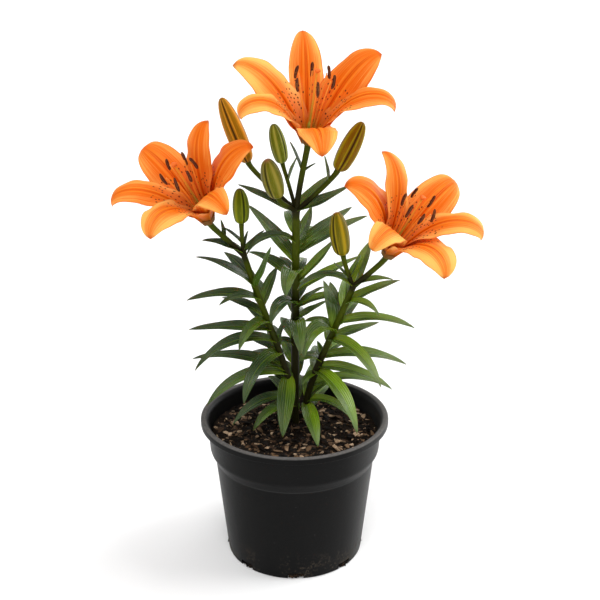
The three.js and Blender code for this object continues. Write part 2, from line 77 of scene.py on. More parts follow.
# Soil, heaped a little round the stems, and the bark chips strewn over it
SOIL_Z = 0.117
SOIL_MOUND = 0.004
SOIL_MOUND_REACH = 0.030
SOIL_ROUGHNESS = 0.00084
SOIL_GRAIN = 0.0006
SOIL_REACH = 0.0758
SOIL_EDGE_DROP = 0.003
SOIL_RINGS = 70
SOIL_SIDES = 220
CHIP_COUNT = 2600
CHIP_SHAPES = 24
CHIP_CORNERS = 11
CHIP_CLEARANCE = 0.006
CHIP_THICKEST = 0.003

# The larger chips that lie in front: place, size, heading, and how pale, 0 to 1
FRONT_CHIPS = [
    ((0.0257, 0.0351), (0.007, 0.006, 0.003), 10, 1.0),
    ((0.0424, -0.0247), (0.012, 0.003, 0.0025), -14, 0.9),
    ((0.0084, -0.0467), (0.011, 0.008, 0.002), 35, 0.72),
    ((-0.0219, -0.0228), (0.018, 0.0022, 0.002), -38, 0.68),
    ((-0.0531, -0.0100), (0.010, 0.005, 0.003), 70, 0.75),
]

# Stems: the height they start at, buried, how thick they are there and at the fork as a share of
# their radius, the swelling under each leaf, and where on the stem the stalks part
STEM_FOOT_Z = 0.0765
STEM_FOOT_SWELL = 1.08
STEM_FORK_TAPER = 0.9
STEM_SWELL = 0.05
STEM_SWELL_REACH = 0.012
FORK_PLACE = 0.985
STALK_NECK = 0.008

# Leaves: how far the edges fold up as a share of half the width, how far the face leans to the
# front, the range of the twist, how deep the groove over the rib is, how thick the edge is, and
# what the rib adds to that
LEAF_FOLD = 0.34
LEAF_LEAN = 0.4
LEAF_TWIST = 24
LEAF_GROOVE = 0.0003
LEAF_EDGE = 0.0004
LEAF_RIB = 0.0005
LEAF_STATIONS = 30
LEAF_COLUMNS = 11

# Leaves on the far side: where they start and end on the stem, and the range of each draw
BACK_PLACES = (0.1, 0.92)
BACK_TURN = (6, 20)
BACK_LIFT = (15, 35)
BACK_BEND = (15, 45)
BACK_LENGTH = (0.040, 0.052)
BACK_WIDTH = (0.011, 0.013)

# Flowers: the solid cup that the petals grow from, and how each kind of petal is set in it: how
# far from the axis its foot is, how deep its groove is, how late it curls back, how blunt its tip
# is, and how far it leans to the front
CUP_LENGTH = 0.007
CUP_FOOT_RADIUS = 0.0045
CUP_MOUTH_RADIUS = 0.007
PETALS = {
    "outer": {"foot": 0.0038, "groove": 0.0008, "curl": 2.8, "blunt": 0.74, "lean": 0.1},
    "inner": {"foot": 0.0028, "groove": 0.0015, "curl": 2.2, "blunt": 0.70, "lean": 0.3},
}
PETAL_STRETCH = 1.03
PETAL_ROOT = 0.001
PETAL_FOOT_HALF = 0.0037
PETAL_TIP_HALF = 0.0004
PETAL_EDGE = 0.0004
PETAL_RIB = 0.0007
PETAL_RUFFLE = 0.0012
KEEL_PLACE = 0.17
TIP_HOOK = 60
TIP_HOOK_POWER = 11
PETAL_STATIONS = 52
PETAL_COLUMNS = 23

# Stamens and pistil
FILAMENT_LENGTH = 0.062
FILAMENT_RADIUS = 0.0007
FILAMENT_RING_RADIUS = 0.0046
FILAMENT_RING_HEIGHT = 0.002
ANTHER_LENGTH = 0.0132
ANTHER_RADIUS = 0.0013
ANTHER_BOW = 0.0007
STYLE_BEYOND = 0.004
OVARY_LENGTH = 0.015
OVARY_RADIUS = 0.002
STYLE_RADIUS = 0.0009
STIGMA_RADIUS = 0.0026

# Buds: the colours of the sides, of the painted highlight on the ribs, of the painted shade in the furrows,
# and of the tip
BUD_COLOURS = {
    "bud_top_left": [(0.27, 0.125, 0.002), (0.72, 0.29, 0.02), (0.045, 0.016, 0.002), (0.30, 0.11, 0.004)],
    "bud_top_middle": [(0.12, 0.16, 0.002), (0.44, 0.46, 0.07), (0.022, 0.028, 0.002), (0.14, 0.11, 0.01)],
    "bud_top_front": [(0.12, 0.125, 0.004), (0.30, 0.25, 0.04), (0.028, 0.024, 0.002), (0.40, 0.18, 0.09)],
    "bud_top_right": [(0.20, 0.095, 0.001), (0.36, 0.33, 0.006), (0.035, 0.014, 0.001), (0.28, 0.12, 0.008)],
    "bud_left": [(0.088, 0.12, 0.001), (0.24, 0.28, 0.01), (0.018, 0.022, 0.001), (0.16, 0.06, 0.008)],
    "bud_right": [(0.12, 0.105, 0.002), (0.42, 0.30, 0.012), (0.022, 0.015, 0.001), (0.38, 0.13, 0.008)],
}

# How finely the round forms are divided: along them, and round them
STEM_GRID = (150, 16)
STALK_GRID = (40, 14)
BUD_GRID = (56, 60)
CUP_GRID = (14, 48)
RING_GRID = (4, 24)
FILAMENT_GRID = (30, 10)
ANTHER_GRID = (26, 24)
PISTIL_GRID = (90, 30)

# Edges between faces that turn by more degrees than this stay sharp
SHARP = 40

# What each set of random draws starts from
BARK_SEED = 41
LEAF_SEED = 23
BACK_LEAF_SEED = 11
PETAL_SEED = 5

# Floor, light and camera. Each lamp has a heading, a lift, a spread and a strength.
FLOOR = 40
ROOM_LIGHT = 0.26
HORIZON_LIGHT = 1.1
HORIZON_BAND = (0.1, 0.3)
LAMPS = {
    "key_lamp": (6, 48, 36, 1.8),
    "top_lamp": (190, 72, 80, 1.0),
    "front_lamp": (262, 52, 34, 1.3),
    "side_lamp": (40, 12, 40, 1.4),
}
CAMERA_LENS = 63
CAMERA_SENSOR = 36
CAMERA_PLACE = (0.0049, -0.8586, 0.5633)
CAMERA_TARGET = (0.0049, 0, 0.244)

# The stems, each a curve drawn towards the points of its route, from soil level to the fork. A
# leaf or bract is the place it grows at, 0 to 1, its heading, its lift, how far it bends down, its
# length and its width. Leaves on the far side are given by how many they are and their heading.
STEMS = {
    "centre": {
        "route": [
            (0, 0.02, 0.112), (0.0003, 0.017, 0.18), (0.001, 0.011, 0.255), (0.0015, 0.005, 0.3256),
        ],
        "radius": 0.0036,
        "back_leaves": (14, 90),
        "leaves": [
            (0.99, 170, 20, -5, 0.054, 0.012), (0.99, 350, 20, -15, 0.051, 0.012),
            (0.99, 40, 35, 5, 0.046, 0.011), (0.86, 65, 15, -40, 0.041, 0.011),
            (0.85, 205, 50, 110, 0.054, 0.01), (0.82, 40, 25, 5, 0.071, 0.013),
            (0.8, 15, 35, 20, 0.072, 0.012), (0.77, 145, 45, 10, 0.067, 0.014),
            (0.71, 255, 60, 150, 0.045, 0.016), (0.68, 150, 45, 45, 0.054, 0.012),
            (0.68, 10, 40, -15, 0.055, 0.012), (0.64, 25, 25, 10, 0.071, 0.011),
            (0.58, 235, 50, 120, 0.045, 0.015), (0.57, 15, 25, 30, 0.048, 0.01),
            (0.57, 325, 45, 10, 0.039, 0.01), (0.52, 335, 30, -10, 0.037, 0.01),
            (0.51, 275, 20, 60, 0.06, 0.015), (0.39, 190, 60, 90, 0.022, 0.008),
        ],
    },
    "left": {
        "route": [
            (0, 0.008, 0.112), (0.007, 0.008, 0.152), (-0.023, 0.005, 0.213), (-0.0437, -0.005, 0.2895),
        ],
        "radius": 0.0030,
        "back_leaves": (8, 116),
        "leaves": [
            (1, 190, 35, 30, 0.037, 0.01), (1, 20, 45, 5, 0.026, 0.006),
            (0.85, 305, 55, -10, 0.05, 0.011), (0.85, 195, 50, 35, 0.061, 0.011),
            (0.8, 205, 25, 35, 0.068, 0.012), (0.79, 225, 40, 60, 0.05, 0.009),
            (0.77, 70, 43, 23, 0.045, 0.01), (0.72, 159, 29, 28, 0.044, 0.01),
            (0.69, 234, 29, 95, 0.049, 0.011), (0.65, 190, 13, 18, 0.073, 0.012),
            (0.59, 203, 29, 81, 0.084, 0.013), (0.58, 20, 72, 10, 0.024, 0.007),
            (0.54, 141, 9, 5, 0.041, 0.01), (0.53, 236, 17, 91, 0.069, 0.015),
            (0.43, 174, 27, 45, 0.088, 0.012), (0.41, 206, 27, 77, 0.086, 0.013),
            (0.39, 266, -23, 11, 0.066, 0.016), (0.35, 155, 13, -30, 0.022, 0.007),
            (0.25, 210, 30, 81, 0.069, 0.012), (0.2, 221, 32, 86, 0.055, 0.011),
        ],
    },
    "right": {
        "route": [
            (0.0105, 0.02, 0.112), (0.004, 0.014, 0.15), (0.032, 0.004, 0.2), (0.0512, -0.01, 0.2624),
        ],
        "radius": 0.0031,
        "back_leaves": (8, 72),
        "leaves": [
            (0.99, 185, 50, 105, 0.056, 0.01), (0.99, 345, 35, 40, 0.036, 0.008),
            (1, 55, 55, 10, 0.043, 0.012), (0.9, 5, 30, 15, 0.05, 0.011),
            (0.89, 315, 40, 80, 0.042, 0.009), (0.78, 350, 25, 50, 0.07, 0.011),
            (0.76, 100, 80, 60, 0.044, 0.012), (0.75, 118, 75, 30, 0.044, 0.012),
            (0.73, 167, 56, 83, 0.03, 0.01), (0.72, 230, 60, 150, 0.056, 0.016),
            (0.69, 25, 10, 5, 0.049, 0.01), (0.68, 305, 20, 70, 0.08, 0.013),
            (0.57, 111, 51, 29, 0.016, 0.005), (0.56, 5, 15, 45, 0.08, 0.012),
            (0.53, 215, 60, 90, 0.026, 0.011), (0.5, 350, 5, 40, 0.071, 0.012),
            (0.47, 305, 5, 75, 0.078, 0.015), (0.45, 215, 0, 60, 0.018, 0.007),
            (0.35, 10, 25, 55, 0.066, 0.011), (0.24, 30, 50, 55, 0.036, 0.009),
            (0.23, 335, 30, 85, 0.05, 0.01), (0.21, 280, -6, 18, 0.06, 0.014),
        ],
    },
}

# The buds. Each has a stalk that is drawn from the fork towards the stalk's point, and its ribs
# are turned round by so many of the points of its outline.
BUDS = {
    "bud_top_left": {
        "stem": "centre", "foot": (-0.0395, 0.022, 0.3615), "tip": (-0.061, 0.022, 0.416),
        "width": 0.0165, "turned": 6, "stalk": (-0.021, 0.014, 0.343), "stalk_radius": 0.0021,
        "bracts": [],
    },
    "bud_top_middle": {
        "stem": "centre", "foot": (-0.01, 0.012, 0.363), "tip": (-0.0175, 0.012, 0.396),
        "width": 0.0135, "turned": 16, "stalk": (-0.004, 0.009, 0.345), "stalk_radius": 0.0017,
        "bracts": [(0.5, 350, 72, 5, 0.022, 0.006)],
    },
    "bud_top_front": {
        "stem": "centre", "foot": (-0.0135, -0.012, 0.34), "tip": (-0.022, -0.024, 0.374),
        "width": 0.017, "turned": 10, "stalk": (-0.008, -0.005, 0.332), "stalk_radius": 0.002,
        "bracts": [],
    },
    "bud_top_right": {
        "stem": "centre", "foot": (0.0365, 0.002, 0.359), "tip": (0.0565, 0.002, 0.3995),
        "width": 0.0165, "turned": 4, "stalk": (0.018, 0.004, 0.338), "stalk_radius": 0.0022,
        "bracts": [(0.65, 180, 84, 5, 0.022, 0.005)],
    },
    "bud_left": {
        "stem": "left", "foot": (-0.0445, -0.008, 0.316), "tip": (-0.0455, -0.008, 0.346),
        "width": 0.014, "turned": 0, "stalk": (-0.0445, -0.008, 0.303), "stalk_radius": 0.0019,
        "bracts": [(0.1, 10, 80, 5, 0.018, 0.005), (0.3, 180, 46, 10, 0.021, 0.005)],
    },
    "bud_right": {
        "stem": "right", "foot": (0.0415, -0.008, 0.288), "tip": (0.0355, -0.008, 0.3255),
        "width": 0.0165, "turned": 12, "stalk": (0.0455, -0.01, 0.273), "stalk_radius": 0.002,
        "bracts": [(0.25, 10, 66, 5, 0.022, 0.006), (0.2, 175, 49, 5, 0.02, 0.004)],
    },
}

# The flowers. A petal is its turn round the axis, its angle from the axis at the foot and at the
# tip, its length and width, and how pale it is. A stamen or pistil is its turn and its angle.
FLOWERS = {
    "top": {
        "stem": "centre", "foot": (0.0115, -0.005, 0.3835), "lift": 66, "heading": -82,
        "stalk": (0.005, 0.002, 0.352), "stalk_radius": 0.0025,
        "bracts": [(0.45, 175, 71, 5, 0.027, 0.005), (0.45, 0, 40, 10, 0.013, 0.0025)],
        "outer": [
            (90, 30, 60, 0.091, 0.028, 0.4),
            (195, 25, 170, 0.091, 0.025, 0.72),
            (340, 25, 150, 0.099, 0.026, 0.31),
        ],
        "inner": [
            (158, 25, 85, 0.093, 0.034, 0.86),
            (270, 31, 126, 0.0835, 0.030, 0.46),
            (20, 24, 65, 0.094, 0.035, 0.14),
        ],
        "stamens": [(38, 15), (85, 11), (135, 13), (210, 12), (277, 12), (345, 13)],
        "pistil": (60, 8),
    },
    "left": {
        "stem": "left", "foot": (-0.071, -0.015, 0.319), "lift": 58, "heading": -122,
        "stalk": (-0.058, -0.009, 0.304), "stalk_radius": 0.0024,
        "bracts": [(0.4, 150, 80, 5, 0.016, 0.004)],
        "outer": [
            (80, 8, 65, 0.091, 0.026, 0.12),
            (215, 25, 140, 0.0965, 0.026, 0.3),
            (334, 20, 145, 0.09, 0.026, 0.4),
        ],
        "inner": [
            (160, 26, 100, 0.09, 0.034, 0.25),
            (270, 22, 120, 0.088, 0.032, 0.6),
            (35, 20, 85, 0.09, 0.032, 0.15),
        ],
        "stamens": [(45, 7), (115, 9), (170, 14), (230, 14), (285, 14), (328, 10)],
        "pistil": (177, 7),
    },
    "right": {
        "stem": "right", "foot": (0.0779, -0.02, 0.2908), "lift": 58, "heading": -52,
        "stalk": (0.065, -0.015, 0.275), "stalk_radius": 0.0024,
        "bracts": [],
        "outer": [
            (100, 10, 80, 0.097, 0.026, 0.4),
            (200, 18, 175, 0.091, 0.026, 0.76),
            (310, 15, 140, 0.102, 0.027, 0.6),
        ],
        "inner": [
            (142, 18, 100, 0.091, 0.032, 0.3),
            (265, 22, 135, 0.088, 0.034, 0.84),
            (15, 24, 95, 0.092, 0.035, 0.36),
        ],
        "stamens": [(58, 11), (140, 8), (204, 10), (248, 13), (297, 13), (0, 14)],
        "pistil": (20, 8),
    },
}

UP = np.array([0.0, 0.0, 1.0])
FRONT = np.array([0.0, -1.0, 0.0])
TURN = 2 * math.pi
GAP = 0.0003
NEAR_AXIS = 0.0004


# Vectors, curves and random draws

def unit(vectors):
    return vectors / np.linalg.norm(vectors, axis=-1, keepdims=True)


def mix(low, high, share):
    return low + (high - low) * share


def bump(places, centre, spread):
    """1 at the centre, falling to nothing a few spreads away."""
    return np.exp(-(((places - centre) / spread) ** 2))


def ramp(places, start, end):
    """0 before the start, 1 after the end, and smooth between."""
    share = np.clip((places - start) / (end - start), 0, 1)
    return share * share * (3 - 2 * share)


def heading_vector(heading, lift=0):
    turn, rise = math.radians(heading), math.radians(lift)
    return np.array([math.cos(rise) * math.cos(turn), math.cos(rise) * math.sin(turn), math.sin(rise)])


def turns(sides):
    """The angle of each point round a form."""
    return np.arange(sides) * TURN / sides


def random_from(seed):
    """Random draws from a fixed seed, the same every time."""
    state = seed

    def draw(low, high):
        nonlocal state
        state = state * 16807 % 2147483647
        return mix(low, high, state / 2147483647)

    return draw


def bezier(controls, places):
    """Points of a curve of any degree at the places, 0 to 1."""
    degree = len(controls) - 1
    places = np.atleast_1d(places)[:, None]
    return sum(
        math.comb(degree, i) * (1 - places) ** (degree - i) * places ** i * np.array(control, float)
        for i, control in enumerate(controls)
    )


# Skins: the closed forms that a piece is made of

class Skin:
    """The points, faces and painted values of one piece, gathered form by form.

    Each point carries two painted vectors for the finishes to read. `span` is the place on its
    form: across -1 to 1, along 0 to 1, and a number of its own. `reach` is the same in metres
    across and along, and a share whose meaning is the form's own.
    """

    def __init__(self):
        self.points = []
        self.faces = []
        self.spans = []
        self.reaches = []
        self.count = 0

    def add(self, points, faces, span, reach):
        points = points.reshape(-1, 3)
        self.faces += [[corner + self.count for corner in face] for face in faces]
        self.points.append(points)
        self.spans.append(np.broadcast_to(span, points.shape))
        self.reaches.append(np.broadcast_to(reach, points.shape))
        self.count += len(points)

    def loft(self, rings, span, reach):
        """A closed form through rings of points, an array of (station, round, 3)."""
        stations, around, _ = rings.shape
        corner = np.arange(stations * around).reshape(stations, around)
        beside = np.roll(corner, -1, axis=1)
        sides = np.stack([corner[:-1], beside[:-1], beside[1:], corner[1:]], axis=-1)
        faces = sides.reshape(-1, 4).tolist()
        faces += [corner[0][::-1].tolist(), corner[-1].tolist()]
        self.add(rings, faces, span.reshape(-1, 3), reach.reshape(-1, 3))


def painted(rings, across, along, last):
    """A painted vector for each point of the rings."""
    shape = rings.shape[:2]
    return np.stack([np.broadcast_to(value, shape) for value in (across, along, last)], axis=-1)


def rod(skin, points, radii, sides, across=None, span_last=0.0, reach_last=0.0):
    """A round rod along points. The radii are one for all, for each station, or for each point.

    Unless it is given, the painted value across is -1 at the rod's left, 0 in front and behind,
    and 1 at its right.
    """
    radii = np.asarray(radii, float)
    if radii.ndim == 1:
        radii = radii[:, None]
    radii = np.broadcast_to(radii, (len(points), sides))
    tangent = unit(np.gradient(points, axis=0))
    side = unit(np.array([1.0, 0, 0]) - tangent * tangent[:, :1])
    front = np.cross(side, tangent)
    turn = turns(sides)
    outward = side[:, None] * np.cos(turn)[:, None] + front[:, None] * np.sin(turn)[:, None]
    rings = points[:, None] + outward * radii[..., None]
    along = np.linspace(0, 1, len(points))[:, None]
    travelled = np.concatenate([[0], np.cumsum(np.linalg.norm(np.diff(points, axis=0), axis=1))])
    if across is None:
        across = np.cos(turn)
    skin.loft(
        rings,
        painted(rings, across, along, span_last),
        painted(rings, turn * radii.mean(), travelled[:, None], reach_last),
    )


def midrib(root, axis, outward, angle_at, length, along, lean):
    """Points, sides and faces of the middle line of a leaf or petal at the places along it.

    It starts at the root and leaves the axis towards outward by angle_at(along) degrees. The
    face is the side turned to the axis, or upwards in a leaf.
    """
    strides = 24
    middles = (np.arange(strides) + 0.5) / strides
    angles = np.radians(angle_at(along[:, None] * middles))
    stride = (along * length / strides)[:, None]
    points = root + axis * np.cos(angles).sum(1, keepdims=True) * stride
    points = points + outward * np.sin(angles).sum(1, keepdims=True) * stride
    angle = np.radians(angle_at(along))[:, None]
    tangent = axis * np.cos(angle) + outward * np.sin(angle)
    face = axis * np.sin(angle) - outward * np.cos(angle)
    face = unit(face + lean * (FRONT - tangent * (tangent @ FRONT)[:, None]))
    return points, np.cross(tangent, face), face


def blade(skin, rib, half, rise, thickness, length, chance):
    """A thin skin spread to both sides of a rib: rise and thickness at each point across it."""
    points, side, face = rib
    stations, columns = rise.shape
    across = np.linspace(-1, 1, columns)
    along = np.linspace(0, 1, stations)[:, None]
    spread = side[:, None] * (half[:, None] * across)[..., None]
    upper = points[:, None] + spread + face[:, None] * rise[..., None]
    lower = upper - face[:, None] * thickness[..., None]
    rings = np.concatenate([upper, lower[:, ::-1]], axis=1)
    round_across = np.concatenate([across, across[::-1]])
    on_face = np.concatenate([np.ones(columns), np.zeros(columns)])
    skin.loft(
        rings,
        painted(rings, round_across, along, chance),
        painted(rings, half[:, None] * round_across, along * length, on_face),
    )


# Leaves and stems

def leaf(skin, root, row, chance):
    """Folded along its rib, thin at the edges, and a little wavy and twisted by chance."""
    _, heading, lift, bend, length, width = row
    along = np.linspace(0, 1, LEAF_STATIONS)
    across = np.linspace(-1, 1, LEAF_COLUMNS)

    def angle_at(place):
        return 90 - lift + bend * place

    points, side, face = midrib(root, UP, heading_vector(heading), angle_at, length, along, LEAF_LEAN)
    twist = (math.radians(LEAF_TWIST) * (chance - 0.5) * along)[:, None]
    side, face = side * np.cos(twist) + face * np.sin(twist), face * np.cos(twist) - side * np.sin(twist)
    outline = (along + 0.03) ** 0.45 * (1 - along) ** 0.82
    half = width / 2 * outline / outline.max()
    fold = LEAF_FOLD * half[:, None] * np.abs(across) ** 1.25
    wave = 0.09 * half[:, None] * across * np.sin(TURN * (1.6 * along + chance))[:, None]
    groove = LEAF_GROOVE * bump(across, 0, 0.09)
    thickness = LEAF_EDGE + LEAF_RIB * bump(across, 0, 0.2) * (1 - 0.6 * along[:, None])
    blade(skin, (points, side, face), half, fold + wave - groove, thickness, length, chance)


def back_leaves(stem, draw):
    """Rows of leaves on the far side, alternately a little to the left and right."""
    count, heading = stem["back_leaves"]
    rows = []
    for index in range(count):
        turn = (1 if index % 2 else -1) * draw(*BACK_TURN)
        place = mix(*BACK_PLACES, (index + 0.5) / count)
        sizes = [draw(*span) for span in (BACK_LIFT, BACK_BEND, BACK_LENGTH, BACK_WIDTH)]
        rows.append((place, heading + turn, *sizes))
    return rows


def stem_foot(stem):
    """How far below soil level, in the stem's own terms, its foot is."""
    start, after = stem["route"][0][2], stem["route"][1][2]
    return (STEM_FOOT_Z - start) / (3 * (after - start))


def stem_points(stem, places):
    """Points of the stem: its curve from soil level up, and straight on below it."""
    start, after = (np.array(point) for point in stem["route"][:2])
    below = start + 3 * (after - start) * np.minimum(places, 0)[:, None]
    return np.where(places[:, None] < 0, below, bezier(stem["route"], np.clip(places, 0, 1)))


def bare_stem(skin, stem):
    """The stem itself, with a slight swelling under each leaf."""
    stations, sides = STEM_GRID
    places = np.linspace(stem_foot(stem), 1, stations)
    along = np.linspace(0, 1, len(places))
    radii = stem["radius"] * mix(STEM_FOOT_SWELL, STEM_FORK_TAPER, along)
    for place, *_ in stem["leaves"]:
        radii = radii * (1 + STEM_SWELL * bump(places, place, STEM_SWELL_REACH))
    dark = np.clip(1 - ramp(places, 0.4, 0.95) + ramp(places, 0.93, 1.0), 0, 1)
    rod(skin, stem_points(stem, places), radii, sides, reach_last=dark[:, None])


def axis_of(carried):
    """The way a bud or flower points, from its foot."""
    if "tip" in carried:
        return unit(np.subtract(carried["tip"], carried["foot"]))
    return heading_vector(carried["heading"], carried["lift"])


def stalk(skin, leaves, carried, draw):
    """The stalk of a flower or bud, from the fork at the stem's top to its foot, and its bracts."""
    stations, sides = STALK_GRID
    fork = stem_points(STEMS[carried["stem"]], np.array([FORK_PLACE]))[0]
    foot = np.array(carried["foot"])
    controls = [fork, carried["stalk"], foot - axis_of(carried) * STALK_NECK, foot]
    along = np.linspace(0, 1, stations)
    radii = carried["stalk_radius"] * (1 + 0.25 * along ** 6)
    dark = 1 - ramp(along, 0.1, 0.6)
    rod(skin, bezier(controls, along), radii, sides, reach_last=dark[:, None])
    for bract in carried["bracts"]:
        leaf(leaves, bezier(controls, bract[0])[0], bract, draw(0, 1))


# Buds

def bud(skin, carried):
    """Three outer petals closed over the rest, with a furrow between each two and a rib on each."""
    stations, sides = BUD_GRID
    turned = carried["turned"]
    foot, tip = np.array(carried["foot"]), np.array(carried["tip"])
    along = (1 - np.cos(np.linspace(0, math.pi, stations))) / 2
    turn = turns(sides)
    from_rib = np.abs((turn / TURN * 3 + 0.5) % 1 - 0.5) * 2
    swelling = (along + 0.09) ** 0.42 * np.maximum(1 - along, 1e-5) ** 0.45 / 0.59
    swelling = swelling * mix(0.45, 1, (1 - np.maximum(1 - along / 0.1, 0) ** 2) ** 0.5)
    lobes = 1 + 0.07 * np.cos(3 * turn) - 0.07 * bump(from_rib, 1, 0.09) + 0.035 * bump(from_rib, 0, 0.12)
    fade = ramp(along, 0, 0.12)[:, None] * (1 - 0.5 * along[:, None])
    radii = carried["width"] / 2 * swelling[:, None] * mix(1, lobes[None], fade)
    points = foot + (tip - foot) * along[:, None]
    rod(skin, points, np.roll(radii, turned, axis=1), sides, across=np.roll(from_rib, turned))


# Flowers

class Flower:
    """Where a flower stands and faces, and the directions that spread round it."""

    def __init__(self, row):
        self.foot = np.array(row["foot"])
        self.axis = axis_of(row)
        self.level = unit(np.cross(UP, self.axis))
        self.upward = np.cross(self.axis, self.level)

    def outward(self, turn):
        return self.level * math.cos(math.radians(turn)) + self.upward * math.sin(math.radians(turn))

    def strand(self, turn, angle, foot, length):
        """Control points of a stamen or style: it bows outwards and ends at the angle from the axis."""
        outward = self.outward(turn)
        start = self.foot + self.axis * (CUP_LENGTH + GAP) + outward * foot
        end = self.foot + length * (
            self.axis * math.cos(math.radians(angle)) + outward * math.sin(math.radians(angle))
        )
        return [start, (start + end) / 2 - outward * length * 0.02, end]


def petal(skin, flower, row, kind, chance):
    """Curled back to its tip, with a groove between two keels and a ruffled margin."""
    turn, start, end, straight, width, paleness = row
    length = straight * PETAL_STRETCH
    grown = PETALS[kind]
    outward = flower.outward(turn)
    along = np.linspace(0, 1, PETAL_STATIONS)
    across = np.linspace(-1, 1, PETAL_COLUMNS)
    root = flower.foot + flower.axis * PETAL_ROOT + outward * grown["foot"]

    def angle_at(place):
        return mix(start, end, place ** grown["curl"]) + TIP_HOOK * place ** TIP_HOOK_POWER

    rib = midrib(root, flower.axis, outward, angle_at, length, along, grown["lean"])
    outline = (along + 0.06) * (1 - along) ** grown["blunt"]
    half = width / 2 * outline / outline.max()
    half = np.maximum(half, PETAL_FOOT_HALF * (1 - along / 0.25)) + PETAL_TIP_HALF
    fade = (1 - along)[:, None]
    trough = mix(0.75, -0.2, np.minimum(along * 1.6, 1))
    keels = 0.5 * bump(np.abs(across), KEEL_PLACE, 0.09) - 1.2 * bump(across, 0, 0.07)
    ripple = np.sin(TURN * (2.6 * along[:, None] + chance + 0.17 * np.sign(across)))
    ripple = ripple + 0.5 * np.sin(TURN * (5.3 * along[:, None] + 3 * chance + 0.4 * np.sign(across)))
    ruffle = PETAL_RUFFLE * np.abs(across) ** 3 * ripple * np.sin(math.pi * along ** 0.8)[:, None]
    tilt = 0.16 * (chance - 0.5) * half[:, None] * across * along[:, None]
    rise = (trough * half)[:, None] * across ** 2 + grown["groove"] * fade * keels + ruffle + tilt
    thickness = PETAL_EDGE + PETAL_RIB * bump(across, 0, 0.3) * fade
    blade(skin, rib, half, rise, thickness, length, paleness)


def cup(skin, flower):
    """What the petals grow from: a short cup with a soft lobe under each petal."""
    stations, sides = CUP_GRID
    along = np.linspace(0, 1, stations)
    turn = turns(sides)
    radii = mix(CUP_FOOT_RADIUS, CUP_MOUTH_RADIUS, along ** 0.6)[:, None] * (1 + 0.04 * np.cos(6 * turn))
    points = flower.foot + flower.axis * along[:, None] * CUP_LENGTH
    rod(skin, points, radii * ramp(along, -0.3, 0.12)[:, None], sides)


def filaments(skin, flower, row):
    """Six threads that grow from a ring in the cup."""
    stations, sides = RING_GRID
    foot = flower.foot + flower.axis * (CUP_LENGTH + GAP)
    rise = np.linspace(0, FILAMENT_RING_HEIGHT, stations)[:, None]
    rod(skin, foot + flower.axis * rise, FILAMENT_RING_RADIUS * 0.9, sides)
    stations, sides = FILAMENT_GRID
    along = np.linspace(0, 1, stations)
    for turn, angle in row["stamens"]:
        controls = flower.strand(turn, angle, FILAMENT_RING_RADIUS - FILAMENT_RADIUS - GAP, FILAMENT_LENGTH)
        rod(skin, bezier(controls, along), FILAMENT_RADIUS * mix(1.3, 0.75, along), sides)


def anther(skin, flower, stamen, index):
    """Two long pollen sacs side by side, hung by the back on the filament's tip."""
    stations, sides = ANTHER_GRID
    outward = flower.outward(stamen[0])
    tip = flower.strand(*stamen, 0, FILAMENT_LENGTH)[-1]
    tilt = math.radians(6 if index % 2 else -10)
    lengthwise = flower.axis * math.cos(tilt) + outward * math.sin(tilt)
    centre = tip + outward * (ANTHER_RADIUS + FILAMENT_RADIUS)
    along = (1 - np.cos(np.linspace(0, math.pi, stations))) / 2
    bow = ANTHER_BOW * (1 - (2 * along - 1) ** 2)
    points = centre + lengthwise * ((along - 0.5) * ANTHER_LENGTH)[:, None] + outward * bow[:, None]
    turn = turns(sides)
    swelling = np.maximum(1 - (2 * along - 1) ** 4, 1e-4) ** 0.5 * (1 + 0.08 * np.sin(9 * along + index))
    sacs = 1 - 0.3 * np.abs(np.sin(turn)) ** 6
    rod(skin, points, ANTHER_RADIUS * swelling[:, None] * sacs, sides, span_last=index / 6)


def pistil(skin, flower, row):
    """A three-sided ovary, a long style and a stigma of three lobes."""
    stations, sides = PISTIL_GRID
    length = FILAMENT_LENGTH + STYLE_BEYOND
    along = np.linspace(0, 1, stations)
    turn = turns(sides)
    ovary = 1 - ramp(along, OVARY_LENGTH / length - 0.05, OVARY_LENGTH / length)
    crown = np.maximum(1 - ((along - 0.965) / 0.035).clip(0, 1) ** 2, 0.02) ** 0.5
    stigma = ramp(along, 0.935, 0.965) * crown
    radii = STYLE_RADIUS + (OVARY_RADIUS - STYLE_RADIUS) * ovary[:, None] * (1 + 0.12 * np.cos(3 * turn))
    radii = radii * mix(0.05, 1, ramp(1 - along, 0, 0.01))[:, None]
    radii = radii + (STIGMA_RADIUS - STYLE_RADIUS) * stigma[:, None] * (1 + 0.2 * np.cos(3 * turn))
    points = bezier(flower.strand(*row["pistil"], 0, length), along)
    rod(skin, points, radii, sides, reach_last=ramp(along, 0.93, 0.95)[:, None])


# Pot and soil

def eased(corners, ease):
    """The outline with each inner corner rounded over the given length."""
    outline = [np.array(corners[0], float)]
    for before, corner, after in zip(corners, corners[1:], corners[2:]):
        before, corner, after = (np.array(point, float) for point in (before, corner, after))
        back, ahead = before - corner, after - corner
        reach = min(ease, np.linalg.norm(back) * 0.45, np.linalg.norm(ahead) * 0.45)
        bend = [corner + unit(back) * reach, corner, corner + unit(ahead) * reach]
        outline += list(bezier(bend, np.linspace(0, 1, POT_EASE_STEPS)))
    return np.array(outline + [np.array(corners[-1], float)])


def lathe(skin, outline, sides):
    """A closed form turned round the pot's axis from an outline of radius and height."""
    turn = turns(sides)
    level = outline[:, :1] * np.cos(turn)
    depth = outline[:, :1] * np.sin(turn)
    rings = np.stack([level, depth, np.broadcast_to(outline[:, 1:], level.shape)], axis=-1)
    skin.loft(rings, painted(rings, turn / math.pi - 1, 0, 0), painted(rings, 0, 0, 0))
    return rings


